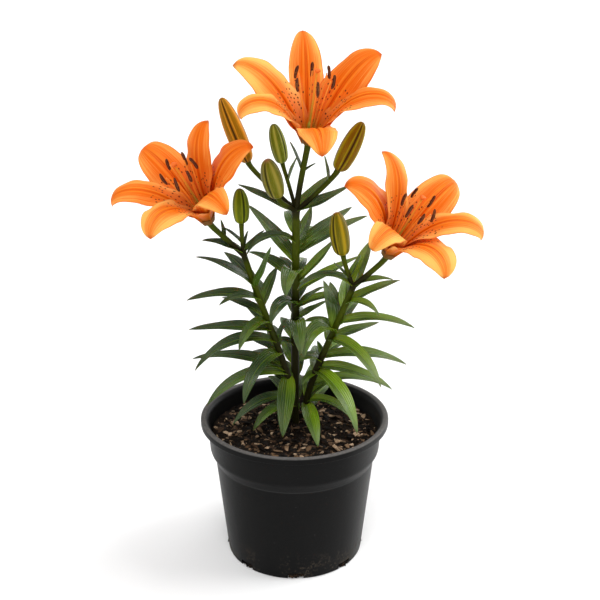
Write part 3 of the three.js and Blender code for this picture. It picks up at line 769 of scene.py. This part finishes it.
def pot_shell(skin):
    lathe(skin, eased([
        (NEAR_AXIS, 0),
        (POT_BASE_RADIUS - POT_EDGE, 0),
        (POT_BASE_RADIUS, POT_EDGE),
        (SHOULDER_RADIUS, SHOULDER_Z),
        (COLLAR_RADIUS, COLLAR_Z),
        (NECK_RADIUS, POT_HEIGHT - POT_WALL),
        (LIP_RADIUS - POT_WALL, POT_HEIGHT - POT_WALL),
        (LIP_RADIUS - POT_WALL, LIP_Z),
        (LIP_RADIUS, LIP_Z),
        (LIP_RADIUS, POT_HEIGHT),
        (MOUTH_RADIUS, POT_HEIGHT),
        (NECK_RADIUS - POT_WALL, POT_HEIGHT - MOUTH_DEPTH),
        (COLLAR_RADIUS - POT_WALL, COLLAR_Z),
        (SHOULDER_RADIUS - POT_WALL, SHOULDER_Z),
        (POT_BASE_RADIUS - POT_WALL, POT_FLOOR),
        (NEAR_AXIS, POT_FLOOR),
    ], POT_EASE), POT_SIDES)


def drain_slots(skin):
    """The blocks that cut the drainage notches round the pot's foot."""
    corners = np.array([(x, y, z) for x in (-1, 1) for y in (-1, 1) for z in (-1, 1)]) / 2
    sides = [(0, 1, 3, 2), (4, 6, 7, 5), (0, 4, 5, 1), (2, 3, 7, 6), (0, 2, 6, 4), (1, 5, 7, 3)]
    for index in range(DRAIN_COUNT):
        heading = DRAIN_HEADING + index * 360 / DRAIN_COUNT
        outward, sideways = heading_vector(heading), heading_vector(heading + 90)
        block = outward * POT_BASE_RADIUS + np.outer(corners[:, 0] * DRAIN_DEPTH, outward)
        block = block + np.outer(corners[:, 1] * DRAIN_WIDTH, sideways)
        block = block + np.outer(corners[:, 2] * 2 * DRAIN_HEIGHT, UP)
        skin.add(block, sides, np.zeros(3), np.zeros(3))


def soil_height(x, y):
    heap_x, heap_y, _ = STEMS["centre"]["route"][0]
    reach = np.hypot(x - heap_x, y - heap_y) / SOIL_MOUND_REACH
    waves = np.sin(x * 190 + 1.3) * np.cos(y * 230 - 0.4) + 0.6 * np.sin((x + y) * 410)
    return SOIL_Z + SOIL_MOUND * np.exp(-(reach ** 2)) + SOIL_ROUGHNESS * waves


def soil_bed(skin):
    """The soil's whole body, with its crumbly top."""
    clear = POT_WALL + GAP
    wall = [
        (NEAR_AXIS, POT_FLOOR + GAP),
        (POT_BASE_RADIUS - clear, POT_FLOOR + GAP),
        (SHOULDER_RADIUS - clear, SHOULDER_Z),
        (COLLAR_RADIUS - clear, COLLAR_Z),
        (SOIL_REACH, SOIL_Z - SOIL_EDGE_DROP),
    ]
    top = [(radius, SOIL_Z) for radius in np.linspace(SOIL_REACH, NEAR_AXIS, SOIL_RINGS)]
    rings = lathe(skin, np.array(wall + top), SOIL_SIDES)
    crumb = rings[len(wall):]
    x, y = crumb[..., 0], crumb[..., 1]
    grain = np.sin(x * 1900 + 3 * np.sin(y * 900)) * np.cos(y * 1700 + 2 * np.sin(x * 1100))
    crumb[..., 2] = soil_height(x, y) + SOIL_GRAIN * grain
    skin.points[-1][len(wall) * SOIL_SIDES:] = crumb.reshape(-1, 3)


def chip_shapes(draw):
    """Splintered bark: the hulls of a few points in a unit box, some long and some round."""
    shapes = []
    for _ in range(CHIP_SHAPES):
        mesh = bmesh.new()
        for _ in range(CHIP_CORNERS):
            mesh.verts.new([draw(-0.5, 0.5) for _ in range(3)])
        bmesh.ops.convex_hull(mesh, input=mesh.verts)
        inside = [vert for vert in mesh.verts if not vert.link_faces]
        bmesh.ops.delete(mesh, geom=inside, context="VERTS")
        mesh.verts.index_update()
        points = np.array([vert.co[:] for vert in mesh.verts])
        shapes.append((points, [[vert.index for vert in face.verts] for face in mesh.faces]))
        mesh.free()
    return shapes


def any_of(shapes, draw):
    """One of the shapes, by chance."""
    return shapes[int(draw(0, 0.999) * len(shapes))]


def bark_chip(skin, shape, place, size, heading, tilt, tint):
    """One chip lying on the soil: its length, width and thickness, and how pale it is."""
    points, faces = shape
    turn = Matrix.Rotation(math.radians(heading), 3, "Z") @ Matrix.Rotation(math.radians(tilt), 3, "Y")
    x, y = place
    centre = np.array([x, y, soil_height(x, y) + size[2] * 0.35])
    laid = (points * size) @ np.array(turn.transposed()) + centre
    skin.add(laid, faces, np.append(points[0, :2], tint), points * size)


def slot_crumbs(skin, shapes, draw):
    """Soil that fills the drainage notches and sticks out of them a little; its tints are kept dark so that
    it also stands in for the shade inside the notches.
    """
    for index in range(DRAIN_COUNT * SLOT_CRUMBS):
        notch = index // SLOT_CRUMBS + draw(-0.5, 0.5) * SLOT_SPREAD
        heading = DRAIN_HEADING + notch * 360 / DRAIN_COUNT
        size = np.array([draw(0.004, 0.006), draw(0.003, 0.005), draw(0.003, 0.0045)])
        centre = heading_vector(heading) * (POT_BASE_RADIUS - draw(0.0012, 0.0045))
        points, faces = any_of(shapes, draw)
        laid = points * size + centre + UP * (size[2] / 2 + draw(0, 1) * (DRAIN_HEIGHT - size[2]))
        # dark tints only, so that the crumbs also stand in for shade inside the notches
        skin.add(laid, faces, np.append(points[0, :2], draw(0, 0.6)), points * size)


def bark(skin, draw):
    """Chips of all sizes strewn over the soil, and the larger ones that lie in front."""
    shapes = chip_shapes(draw)
    slot_crumbs(skin, shapes, draw)
    feet = [stem["route"][0] for stem in STEMS.values()]
    strewn = 0
    while strewn < CHIP_COUNT:
        away = SOIL_REACH * math.sqrt(draw(0, 1))
        heading = draw(0, 360)
        x, y, _ = heading_vector(heading) * away
        length = 0.0015 + 0.0095 * draw(0, 1) ** 3
        clear = all(math.hypot(foot[0] - x, foot[1] - y) > CHIP_CLEARANCE for foot in feet)
        if clear and away < SOIL_REACH - length / 2:
            width = length * draw(0.25, 0.8)
            size = (length, width, min(width, CHIP_THICKEST) * draw(0.4, 0.9))
            shape = any_of(shapes, draw)
            bark_chip(skin, shape, (x, y), size, draw(0, 360), draw(-25, 25), draw(0, 1))
            strewn += 1
    for place, size, heading, tint in FRONT_CHIPS:
        bark_chip(skin, any_of(shapes, draw), place, size, heading, draw(-6, 6), tint)


# Finishes: what each material is made of

class Socket:
    """A node's output, which sums and products can use as they use numbers."""

    def __init__(self, nodes, node, name):
        self.nodes = nodes
        self.node = node
        self.name = name

    def also(self, name):
        """Another output of the same node."""
        return Socket(self.nodes, self.node, name)

    def maths(self, operation, *others, first=None):
        values = (self, *others) if first is None else (first, self)
        return self.nodes.node("ShaderNodeMath", {"operation": operation}, dict(enumerate(values)), 0)

    def __add__(self, other):
        return self.maths("ADD", other)

    def __sub__(self, other):
        return self.maths("SUBTRACT", other)

    def __rsub__(self, other):
        return self.maths("SUBTRACT", first=other)

    def __mul__(self, other):
        return self.maths("MULTIPLY", other)

    def __pow__(self, other):
        return self.maths("POWER", other)

    def __abs__(self):
        return self.maths("ABSOLUTE")

    __radd__ = __add__
    __rmul__ = __mul__

    def sine(self):
        return self.maths("SINE")

    def ramp(self, start, end):
        """0 before the start, 1 after the end, and smooth between."""
        return self.nodes.node(
            "ShaderNodeMapRange",
            {"interpolation_type": "SMOOTHSTEP"},
            {"Value": self, "From Min": start, "From Max": end},
            "Result",
        )

    def fade(self, start, end):
        """1 before the start, 0 after the end, and smooth between."""
        return 1 - self.ramp(start, end)

    def bell(self, centre, reach):
        """1 at the centre, falling smoothly to 0 within reach on both sides."""
        return abs(self - centre).fade(0.0, reach)


class Nodes:
    """The nodes of one material or of the world."""

    def __init__(self, tree):
        self.tree = tree

    def set(self, node, values):
        for name, value in values.items():
            if isinstance(value, Socket):
                self.tree.links.new(value.node.outputs[value.name], node.inputs[name])
            else:
                node.inputs[name].default_value = value

    def node(self, kind, settings, values, output):
        """Any node: its settings first, then the values or links of its sockets."""
        node = self.tree.nodes.new(kind)
        for name, value in settings.items():
            setattr(node, name, value)
        self.set(node, values)
        return Socket(self, node, output)

    def place(self, kind="Object"):
        return self.node("ShaderNodeTexCoord", {}, {}, kind)

    def vector(self, x, y, z):
        return self.node("ShaderNodeCombineXYZ", {}, {"X": x, "Y": y, "Z": z}, "Vector")

    def parts(self, vector):
        """The three numbers of a vector."""
        x = self.node("ShaderNodeSeparateXYZ", {}, {"Vector": vector}, "X")
        return x, x.also("Y"), x.also("Z")

    def noise(self, vector, scale, detail, roughness=0.5):
        values = {"Vector": vector, "Scale": scale, "Detail": detail, "Roughness": roughness}
        return self.node("ShaderNodeTexNoise", {}, values, "Fac")

    def cells(self, vector, scale, dimensions="3D"):
        """Distance to the nearest of many scattered points; its Color is a draw for each point."""
        settings = {"voronoi_dimensions": dimensions}
        return self.node("ShaderNodeTexVoronoi", settings, {"Vector": vector, "Scale": scale}, "Distance")

    def blend(self, share, low, high):
        """A colour between two, each of them a socket or its red, green and blue."""
        low, high = (shade if isinstance(shade, Socket) else (*shade, 1.0) for shade in (low, high))
        return self.node("ShaderNodeMix", {"data_type": "RGBA"}, {0: share, 6: low, 7: high}, 2)

    def layers(self, skin, *coats):
        """The skin with coats of colour over it: how much of it each covers, and its colour."""
        for share, shade in coats:
            skin = self.blend(share, skin, shade)
        return skin


class Finish(Nodes):
    """A material whose colour, roughness and relief vary over the surface.

    Gloss is how strongly it mirrors, and glow how much light passes under its skin.
    """

    def __init__(self, name, gloss, glow=0.0, depth=0.002):
        self.material = bpy.data.materials.new(name)
        self.material.use_nodes = True
        super().__init__(self.material.node_tree)
        self.surface = self.tree.nodes["Principled BSDF"]
        even = {"Specular IOR Level": gloss, "Subsurface Weight": glow, "Subsurface Scale": depth}
        self.set(self.surface, even)

    def painted(self, name):
        """The three numbers of a painted vector."""
        return self.parts(self.painted_vector(name))

    def painted_vector(self, name):
        return self.node("ShaderNodeAttribute", {"attribute_name": name}, {}, "Vector")

    def paint(self, skin, roughness, height, depth):
        """Give the surface its colour and roughness, and a relief as deep as said, in metres."""
        values = {"Height": height, "Distance": depth, "Strength": 1.0}
        relief = self.node("ShaderNodeBump", {}, values, "Normal")
        self.set(self.surface, {"Base Color": skin, "Roughness": roughness, "Normal": relief})
        return self.material


def petal_finish():
    """Orange, paler towards the margins, finely streaked, freckled towards the throat, with a painted
    highlight on the keels and painted shade along the groove.
    """
    finish = Finish("petal", 0.07, 0.2)
    across, along, pale = finish.painted("span")
    wide, far, on_face = finish.painted("reach")
    margin = abs(across)
    streak = finish.noise(finish.vector(across * 16, along * 1.3, pale * 40), 1.6, 4)
    cloud = finish.noise(finish.vector(across * 1.4, along * 2.2, pale * 17), 1.3, 2)
    outwards = (margin.ramp(0.15, 1.0) * 0.8 + along.ramp(0.3, 0.95) * 0.35) * along.ramp(0.1, 0.4)
    paleness = outwards * (pale * 1.1 + cloud * 0.5) + (streak - 0.5) * 1.2
    # painted highlight along the two keels
    keel_highlight = margin.bell(KEEL_PLACE, 0.10) * along.fade(0.7, 0.98) * along.ramp(0.1, 0.25)
    # painted shade along both walls of the groove over the rib
    groove = margin.bell(0.045, 0.04) * along.fade(0.75, 0.98) * along.ramp(0.05, 0.2)
    ground = along.ramp(0.08, 0.2) * along.fade(0.35, 0.6) * margin.ramp(0.1, 0.3) * on_face
    spots = finish.cells(finish.vector(wide, far * 0.7 + pale, 0.0), 370, "2D")
    drawn = finish.node("ShaderNodeSeparateColor", {}, {"Color": spots.also("Color")}, "Red")
    freckled = along.ramp(0.10, 0.2) * along.fade(0.46, 0.64)
    freckled = freckled * margin.ramp(0.08, 0.2) * margin.fade(0.78, 0.96)
    freckle = spots.fade(0.17, 0.25) * (drawn + freckled).ramp(1.28, 1.33) * on_face
    veins = (across * 60).sine() * 0.3 + streak
    skin = finish.layers(
        finish.blend(paleness.ramp(0, 1.1), (0.73, 0.120, 0.0), (0.92, 0.46, 0.105)),
        (keel_highlight * 0.35, (0.90, 0.36, 0.04)),
        (groove * 0.7, (0.50, 0.050, 0.001)),
        (margin.ramp(0.93, 1.0) * along.ramp(0.1, 0.3) * 0.6, (0.55, 0.075, 0.003)),
        (ground * (0.15 + pale * 0.4), (0.86, 0.32, 0.10)),
        (along.fade(0.02, 0.22) * on_face * 0.8, (0.66, 0.34, 0.015)),
        (along.fade(0.02, 0.26) * (1 - on_face) * 0.9, (0.13, 0.050, 0.008)),
        (along.ramp(0.94, 1.0) * 0.7, (0.40, 0.05, 0.006)),
        (freckle * 0.9, (0.075, 0.010, 0.005)),
    )
    return finish.paint(skin, 0.36 + streak * 0.25, veins * 0.6 + freckle * 0.6, 0.00022)


def cup_finish():
    """Brownish orange with green in it, where the petals join the stalk."""
    finish = Finish("cup", 0.15, 0.1)
    around, along, _ = finish.painted("span")
    streak = finish.noise(finish.vector(around * 6, along * 1.5, 0.0), 3.0, 3)
    skin = finish.layers(
        finish.blend(streak, (0.11, 0.042, 0.008), (0.20, 0.080, 0.012)),
        (along.fade(0.0, 0.6) * 0.8, (0.09, 0.085, 0.010)),
    )
    return finish.paint(skin, 0.45 + streak * 0.15, streak, 0.0002)


def leaf_finish():
    """Waxy green with parallel veins, with painted shade on one half, painted light towards +X and a painted
    sheen at the tips.
    """
    finish = Finish("leaf", 0.5, 0.1)
    across, along, chance = finish.painted("span")
    _, _, on_face = finish.painted("reach")
    right, _, _ = finish.parts(finish.place())
    margin = abs(across)
    streak = finish.noise(finish.vector(across * 10, along * 1.1, chance * 40), 1.5, 4)
    # the tone varies by chance and by streaks; painted light also makes it lighter towards +X
    shade = (chance * 0.6 + streak * 0.6 + right * 5).ramp(0.25, 1.15)
    veins = (across * 26).sine()
    skin = finish.layers(
        finish.blend(shade, (0.014, 0.046, 0.008), (0.165, 0.290, 0.006)),
        (along.fade(0.0, 0.45) * 0.8, (0.20, 0.31, 0.006)),
        # painted shade over one half of each leaf
        (across.ramp(-0.06, 0.06) * 0.6, (0.008, 0.028, 0.005)),
        # painted sheen paling the tips, stronger towards +X
        (along.ramp(0.4, 1.0) * (0.2 + right.ramp(-0.02, 0.07) * 0.5), (0.26, 0.36, 0.16)),
        (margin.fade(0.0, 0.10) * along.fade(0.7, 1.0) * 0.4, (0.20, 0.31, 0.03)),
        ((1 - on_face) * 0.6, (0.050, 0.105, 0.010)),
        (along.ramp(0.97, 1.0) * 0.7, (0.20, 0.14, 0.03)),
        (veins.ramp(0.2, 1.0) * 0.18, (0.16, 0.26, 0.03)),
    )
    return finish.paint(skin, 0.14 + streak * 0.22, veins * 0.5 + streak, 0.0004)


def stem_finish():
    """Olive green, dark brown low down and at the forks, with fine lengthwise lines."""
    finish = Finish("stem", 0.07)
    round_way, along, _ = finish.painted("span")
    _, _, dark = finish.painted("reach")
    mottle = finish.noise(finish.place(), 160, 4)
    lines = finish.noise(finish.vector(round_way * 9, along * 6, 0.0), 3.0, 3)
    brown = (dark + (mottle - 0.5) * 0.9).ramp(0.15, 0.95)
    skin = finish.layers(
        finish.blend(mottle, (0.028, 0.040, 0.001), (0.065, 0.086, 0.002)),
        (brown * 0.9, (0.012, 0.009, 0.003)),
    )
    return finish.paint(skin, 0.36 + mottle * 0.25, lines, 0.0002)


def bud_finish(name, shades):
    """A ribbed bud: its sides, a painted highlight down the rib of each outer petal and beside each furrow,
    painted shade in the furrow between, and the tip.
    """
    finish = Finish(name, 0.07, 0.05, 0.003)
    side, rib, furrow, tip = shades
    around, along, _ = finish.painted("span")
    streak = finish.noise(finish.vector(around * 3, along * 1.5, 0.0), 4.0, 4)
    skin = finish.layers(
        finish.blend(streak.ramp(0.45, 0.8) * 0.5, side, rib),
        # painted highlight down each rib, and again beside each furrow
        (around.bell(0.0, 0.32) * 0.85, rib),
        (around.bell(0.74, 0.13) * 0.6, rib),
        # painted shade in the furrows
        (around.ramp(0.82, 0.97) * 0.95, furrow),
        (along.fade(0.0, 0.15) * 0.6, (0.06, 0.075, 0.003)),
        (along.ramp(0.84, 1.0) * 0.85, tip),
    )
    return finish.paint(skin, 0.26 + streak * 0.2, streak + (around * 40).sine() * 0.3, 0.0003)


def filament_finish():
    finish = Finish("filament", 0.4, 0.2)
    _, along, _ = finish.painted("span")
    streak = finish.noise(finish.place(), 900, 2)
    skin = finish.layers(
        finish.blend(along.ramp(0.0, 0.6), (0.50, 0.34, 0.04), (0.86, 0.26, 0.02)),
        (streak * 0.25, (0.92, 0.42, 0.08)),
    )
    return finish.paint(skin, 0.45 + streak * 0.1, streak, 0.0001)


def pistil_finish():
    finish = Finish("pistil", 0.15)
    _, along, _ = finish.painted("span")
    _, _, stigma = finish.painted("reach")
    grain = finish.noise(finish.place(), 1400, 2)
    skin = finish.layers(
        finish.blend(along.ramp(0.15, 0.8), (0.38, 0.40, 0.05), (0.80, 0.30, 0.03)),
        (stigma, (0.78, 0.15, 0.02)),
    )
    return finish.paint(skin, 0.4 + grain * 0.2, grain, 0.0002)


def anther_finish():
    """Dark maroon sacs dusted with rusty pollen, tan along the split between them."""
    finish = Finish("anther", 0.2)
    around, _, _ = finish.painted("span")
    grain = finish.noise(finish.place(), 2600, 3, 0.7)
    patch = finish.noise(finish.place(), 420, 2)
    skin = finish.layers(
        finish.blend(grain.ramp(0.4, 0.7), (0.050, 0.010, 0.006), (0.13, 0.024, 0.010)),
        (patch.ramp(0.52, 0.68) * 0.6, (0.26, 0.085, 0.018)),
        (around.bell(0.1, 0.3) * 0.6, (0.30, 0.15, 0.05)),
    )
    return finish.paint(skin, 0.8 + grain * 0.2, grain, 0.0003)


def pot_finish():
    """Black plastic, worn along the mouth and splashed low down, with a painted sheen towards +X and a
    painted highlight along the shoulder.
    """
    finish = Finish("black_plastic", 0.07)
    place = finish.place()
    x, y, z = finish.parts(place)
    grain = finish.noise(place, 2200, 2)
    cloud = finish.noise(place, 34, 4, 0.6)
    dust = finish.noise(place, 420, 4, 0.65)
    radius = (x * x + y * y) ** 0.5
    worn = z.ramp(POT_HEIGHT - POT_WALL, POT_HEIGHT - 0.0002) * radius.ramp(0.078, 0.081)
    splash = (dust * cloud).ramp(0.26, 0.38) * z.fade(0.003, 0.030)
    skin = finish.layers(
        finish.blend(cloud, (0.002, 0.002, 0.0022), (0.005, 0.005, 0.0048)),
        # painted sheen: the +X side is lightened to grey as if lit from the right
        (x.ramp(0.040, 0.085) * (0.4 + cloud * 0.8), (0.038, 0.038, 0.037)),
        # painted highlight: a thin lighter line along the shoulder's edge
        (z.bell(SHOULDER_Z - 0.0003, 0.0012) * 0.3, (0.05, 0.05, 0.05)),
        (worn * (0.35 + dust), (0.12, 0.115, 0.11)),
        (splash * 0.6, (0.09, 0.07, 0.05)),
        (dust.ramp(0.66, 0.74) * 0.25, (0.10, 0.095, 0.09)),
    )
    return finish.paint(skin, 0.34 + cloud * 0.14 + worn * 0.25 + splash * 0.3, grain * 0.3 + dust, 0.00012)


def soil_finish():
    finish = Finish("peat", 0.08)
    place = finish.place()
    clod = finish.noise(place, 300, 6, 0.7)
    crumb = finish.cells(place, 700)
    skin = finish.layers(
        finish.blend(clod.ramp(0.35, 0.75), (0.003, 0.002, 0.0015), (0.028, 0.018, 0.010)),
        (crumb.ramp(0.0, 0.5) * 0.4, (0.012, 0.008, 0.006)),
    )
    return finish.paint(skin, 0.75 + clod * 0.25, clod - crumb * 0.5, 0.0012)


def bark_finish():
    """Chips from nearly black to tan, streaked along their length."""
    finish = Finish("bark", 0.15)
    _, _, tint = finish.painted("span")
    streak = finish.noise(finish.painted_vector("reach"), 900, 4, 0.6)
    patch = finish.noise(finish.place(), 260, 3)
    tone = tint + (patch - 0.5) * 0.25
    skin = finish.layers(
        (0.002, 0.0015, 0.001),
        (tone.ramp(0.0, 0.40), (0.007, 0.005, 0.003)),
        (tone.ramp(0.40, 0.66), (0.055, 0.030, 0.016)),
        (tone.ramp(0.66, 0.84), (0.19, 0.115, 0.062)),
        (tone.ramp(0.84, 1.0), (0.52, 0.37, 0.24)),
        (streak.ramp(0.45, 0.75) * 0.5, (0.020, 0.012, 0.008)),
    )
    return finish.paint(skin, 0.6 + streak * 0.35, streak, 0.0005)


def bulb_finish():
    finish = Finish("bulb_scale", 0.4)
    streak = finish.noise(finish.place(), 180, 4)
    skin = finish.blend(streak, (0.62, 0.48, 0.26), (0.75, 0.66, 0.45))
    return finish.paint(skin, 0.5 + streak * 0.2, streak, 0.0004)


# Pieces

def put(name, data):
    """An object with the data, in the scene."""
    made = bpy.data.objects.new(name, data)
    bpy.context.scene.collection.objects.link(made)
    return made


def mesh_of(name, skin):
    mesh = bpy.data.meshes.new(name)
    mesh.from_pydata(np.concatenate(skin.points).tolist(), [], skin.faces)
    return mesh


def piece(name, skin, material, slot, *nodes):
    """A Blender object from a skin, which stands for the CAD nodes and rides with the plant."""
    mesh = mesh_of(name, skin)
    for label, values in (("span", skin.spans), ("reach", skin.reaches)):
        attribute = mesh.attributes.new(label, "FLOAT_VECTOR", "POINT")
        attribute.data.foreach_set("vector", np.concatenate(values).ravel())
    faced_out = bmesh.new()
    faced_out.from_mesh(mesh)
    bmesh.ops.recalc_face_normals(faced_out, faces=faced_out.faces)
    faced_out.to_mesh(mesh)
    faced_out.free()
    mesh.shade_smooth()
    mesh.set_sharp_from_angle(angle=math.radians(SHARP))
    mesh.materials.append(material)
    made = put(name, mesh)
    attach(made, "root")
    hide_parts(*nodes)
    return made


def cut(body, cutter):
    """Take the cutter's form out of the body, and remove the cutter."""
    notches = body.modifiers.new("notches", "BOOLEAN")
    notches.solver = "EXACT"
    notches.object = cutter
    graph = bpy.context.evaluated_depsgraph_get()
    body.data = bpy.data.meshes.new_from_object(body.evaluated_get(graph))
    body.modifiers.clear()
    bpy.data.objects.remove(cutter)
    body.data.set_sharp_from_angle(angle=math.radians(SHARP))


def build_pot():
    shell, slots = Skin(), Skin()
    pot_shell(shell)
    drain_slots(slots)
    body = piece("pot_body", shell, pot_finish(), "pot", "pot")
    cut(body, put("slots", mesh_of("slots", slots)))


def build_soil(draw):
    bed, chips = Skin(), Skin()
    soil_bed(bed)
    bark(chips, draw)
    piece("soil_bed", bed, soil_finish(), "soil", "soil")
    piece("bark_chips", chips, bark_finish(), "soil", "soil")
    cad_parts["bulb"].data.materials.clear()
    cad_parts["bulb"].data.materials.append(bulb_finish())


def build_stems(draw, draw_behind):
    """Each stem with its leaves, and the stalks and bracts of what it carries."""
    olive, green = stem_finish(), leaf_finish()
    for name, stem in STEMS.items():
        bare, leaves = Skin(), Skin()
        bare_stem(bare, stem)
        for row in stem["leaves"] + back_leaves(stem, draw_behind):
            leaf(leaves, stem_points(stem, np.array([row[0]]))[0], row, draw(0, 1))
        for carried in [*FLOWERS.values(), *BUDS.values()]:
            if carried["stem"] == name:
                stalk(bare, leaves, carried, draw)
        piece(f"bare_stem_{name}", bare, olive, "foliage", f"stem_{name}")
        piece(f"leaves_{name}", leaves, green, "foliage", f"stem_{name}")


def build_buds():
    for name, carried in BUDS.items():
        closed = Skin()
        bud(closed, carried)
        piece(f"closed_{name}", closed, bud_finish(f"{name}_skin", BUD_COLOURS[name]), "bud", name)


def build_flowers(draw):
    orange, base = petal_finish(), cup_finish()
    thread, style, pollen = filament_finish(), pistil_finish(), anther_finish()
    for name, row in FLOWERS.items():
        flower = Flower(row)
        petals, calyx, threads, styles = Skin(), Skin(), Skin(), Skin()
        for kind in PETALS:
            for petal_row in row[kind]:
                petal(petals, flower, petal_row, kind, draw(0, 1))
        cup(calyx, flower)
        filaments(threads, flower, row)
        pistil(styles, flower, row)
        piece(f"petals_{name}", petals, orange, "petal", f"bloom_{name}")
        piece(f"cup_{name}", calyx, base, "petal", f"bloom_{name}")
        piece(f"threads_{name}", threads, thread, "filament", f"filaments_{name}")
        piece(f"style_{name}", styles, style, "pistil", f"pistil_{name}")
        for index, stamen in enumerate(row["stamens"]):
            sacs = Skin()
            anther(sacs, flower, stamen, index)
            piece(f"pollen_{name}_{index + 1}", sacs, pollen, "anther", f"anther_{name}_{index + 1}")


# Floor, light and camera

def build_floor():
    mesh = bpy.data.meshes.new("floor")
    corners = [(-FLOOR, -FLOOR, 0), (FLOOR, -FLOOR, 0), (FLOOR, FLOOR, 0), (-FLOOR, FLOOR, 0)]
    mesh.from_pydata(corners, [], [(0, 1, 2, 3)])
    paper = Finish("floor_paper", 0.0)
    tooth = paper.noise(paper.place(), 3, 2)
    white = paper.blend(tooth, (0.95, 0.95, 0.95), (0.96, 0.96, 0.96))
    paper.set(paper.surface, {"Base Color": white, "Roughness": 0.9})
    mesh.materials.append(paper.material)
    floor = put("floor", mesh)


def light_studio():
    """A dim room, white at the horizon, with broad soft lamps."""
    world = bpy.data.worlds.new("studio")
    world.use_nodes = True
    room = Nodes(world.node_tree)
    _, _, upwards = room.parts(room.place("Generated"))
    light = room.blend(upwards.ramp(*HORIZON_BAND), [HORIZON_LIGHT] * 3, [ROOM_LIGHT] * 3)
    room.set(world.node_tree.nodes["Background"], {"Color": light})
    bpy.context.scene.world = world
    for name, (heading, lift, spread, strength) in LAMPS.items():
        sun = bpy.data.lights.new(name, "SUN")
        sun.energy = strength
        sun.angle = math.radians(spread)
        towards = Vector(heading_vector(heading, lift))
        put(name, sun).rotation_euler = towards.to_track_quat("Z", "Y").to_euler()


def place_camera():
    lens = bpy.data.cameras.new("camera")
    lens.lens = CAMERA_LENS
    lens.sensor_width = CAMERA_SENSOR
    camera = put("camera", lens)
    camera.location = CAMERA_PLACE
    back = Vector(CAMERA_PLACE) - Vector(CAMERA_TARGET)
    camera.rotation_euler = back.to_track_quat("Z", "Y").to_euler()
    bpy.context.scene.camera = camera
    bpy.context.scene.view_settings.view_transform = "Standard"


build_pot()
build_soil(random_from(BARK_SEED))
build_stems(random_from(LEAF_SEED), random_from(BACK_LEAF_SEED))
build_buds()
build_flowers(random_from(PETAL_SEED))
build_floor()
light_studio()
place_camera()
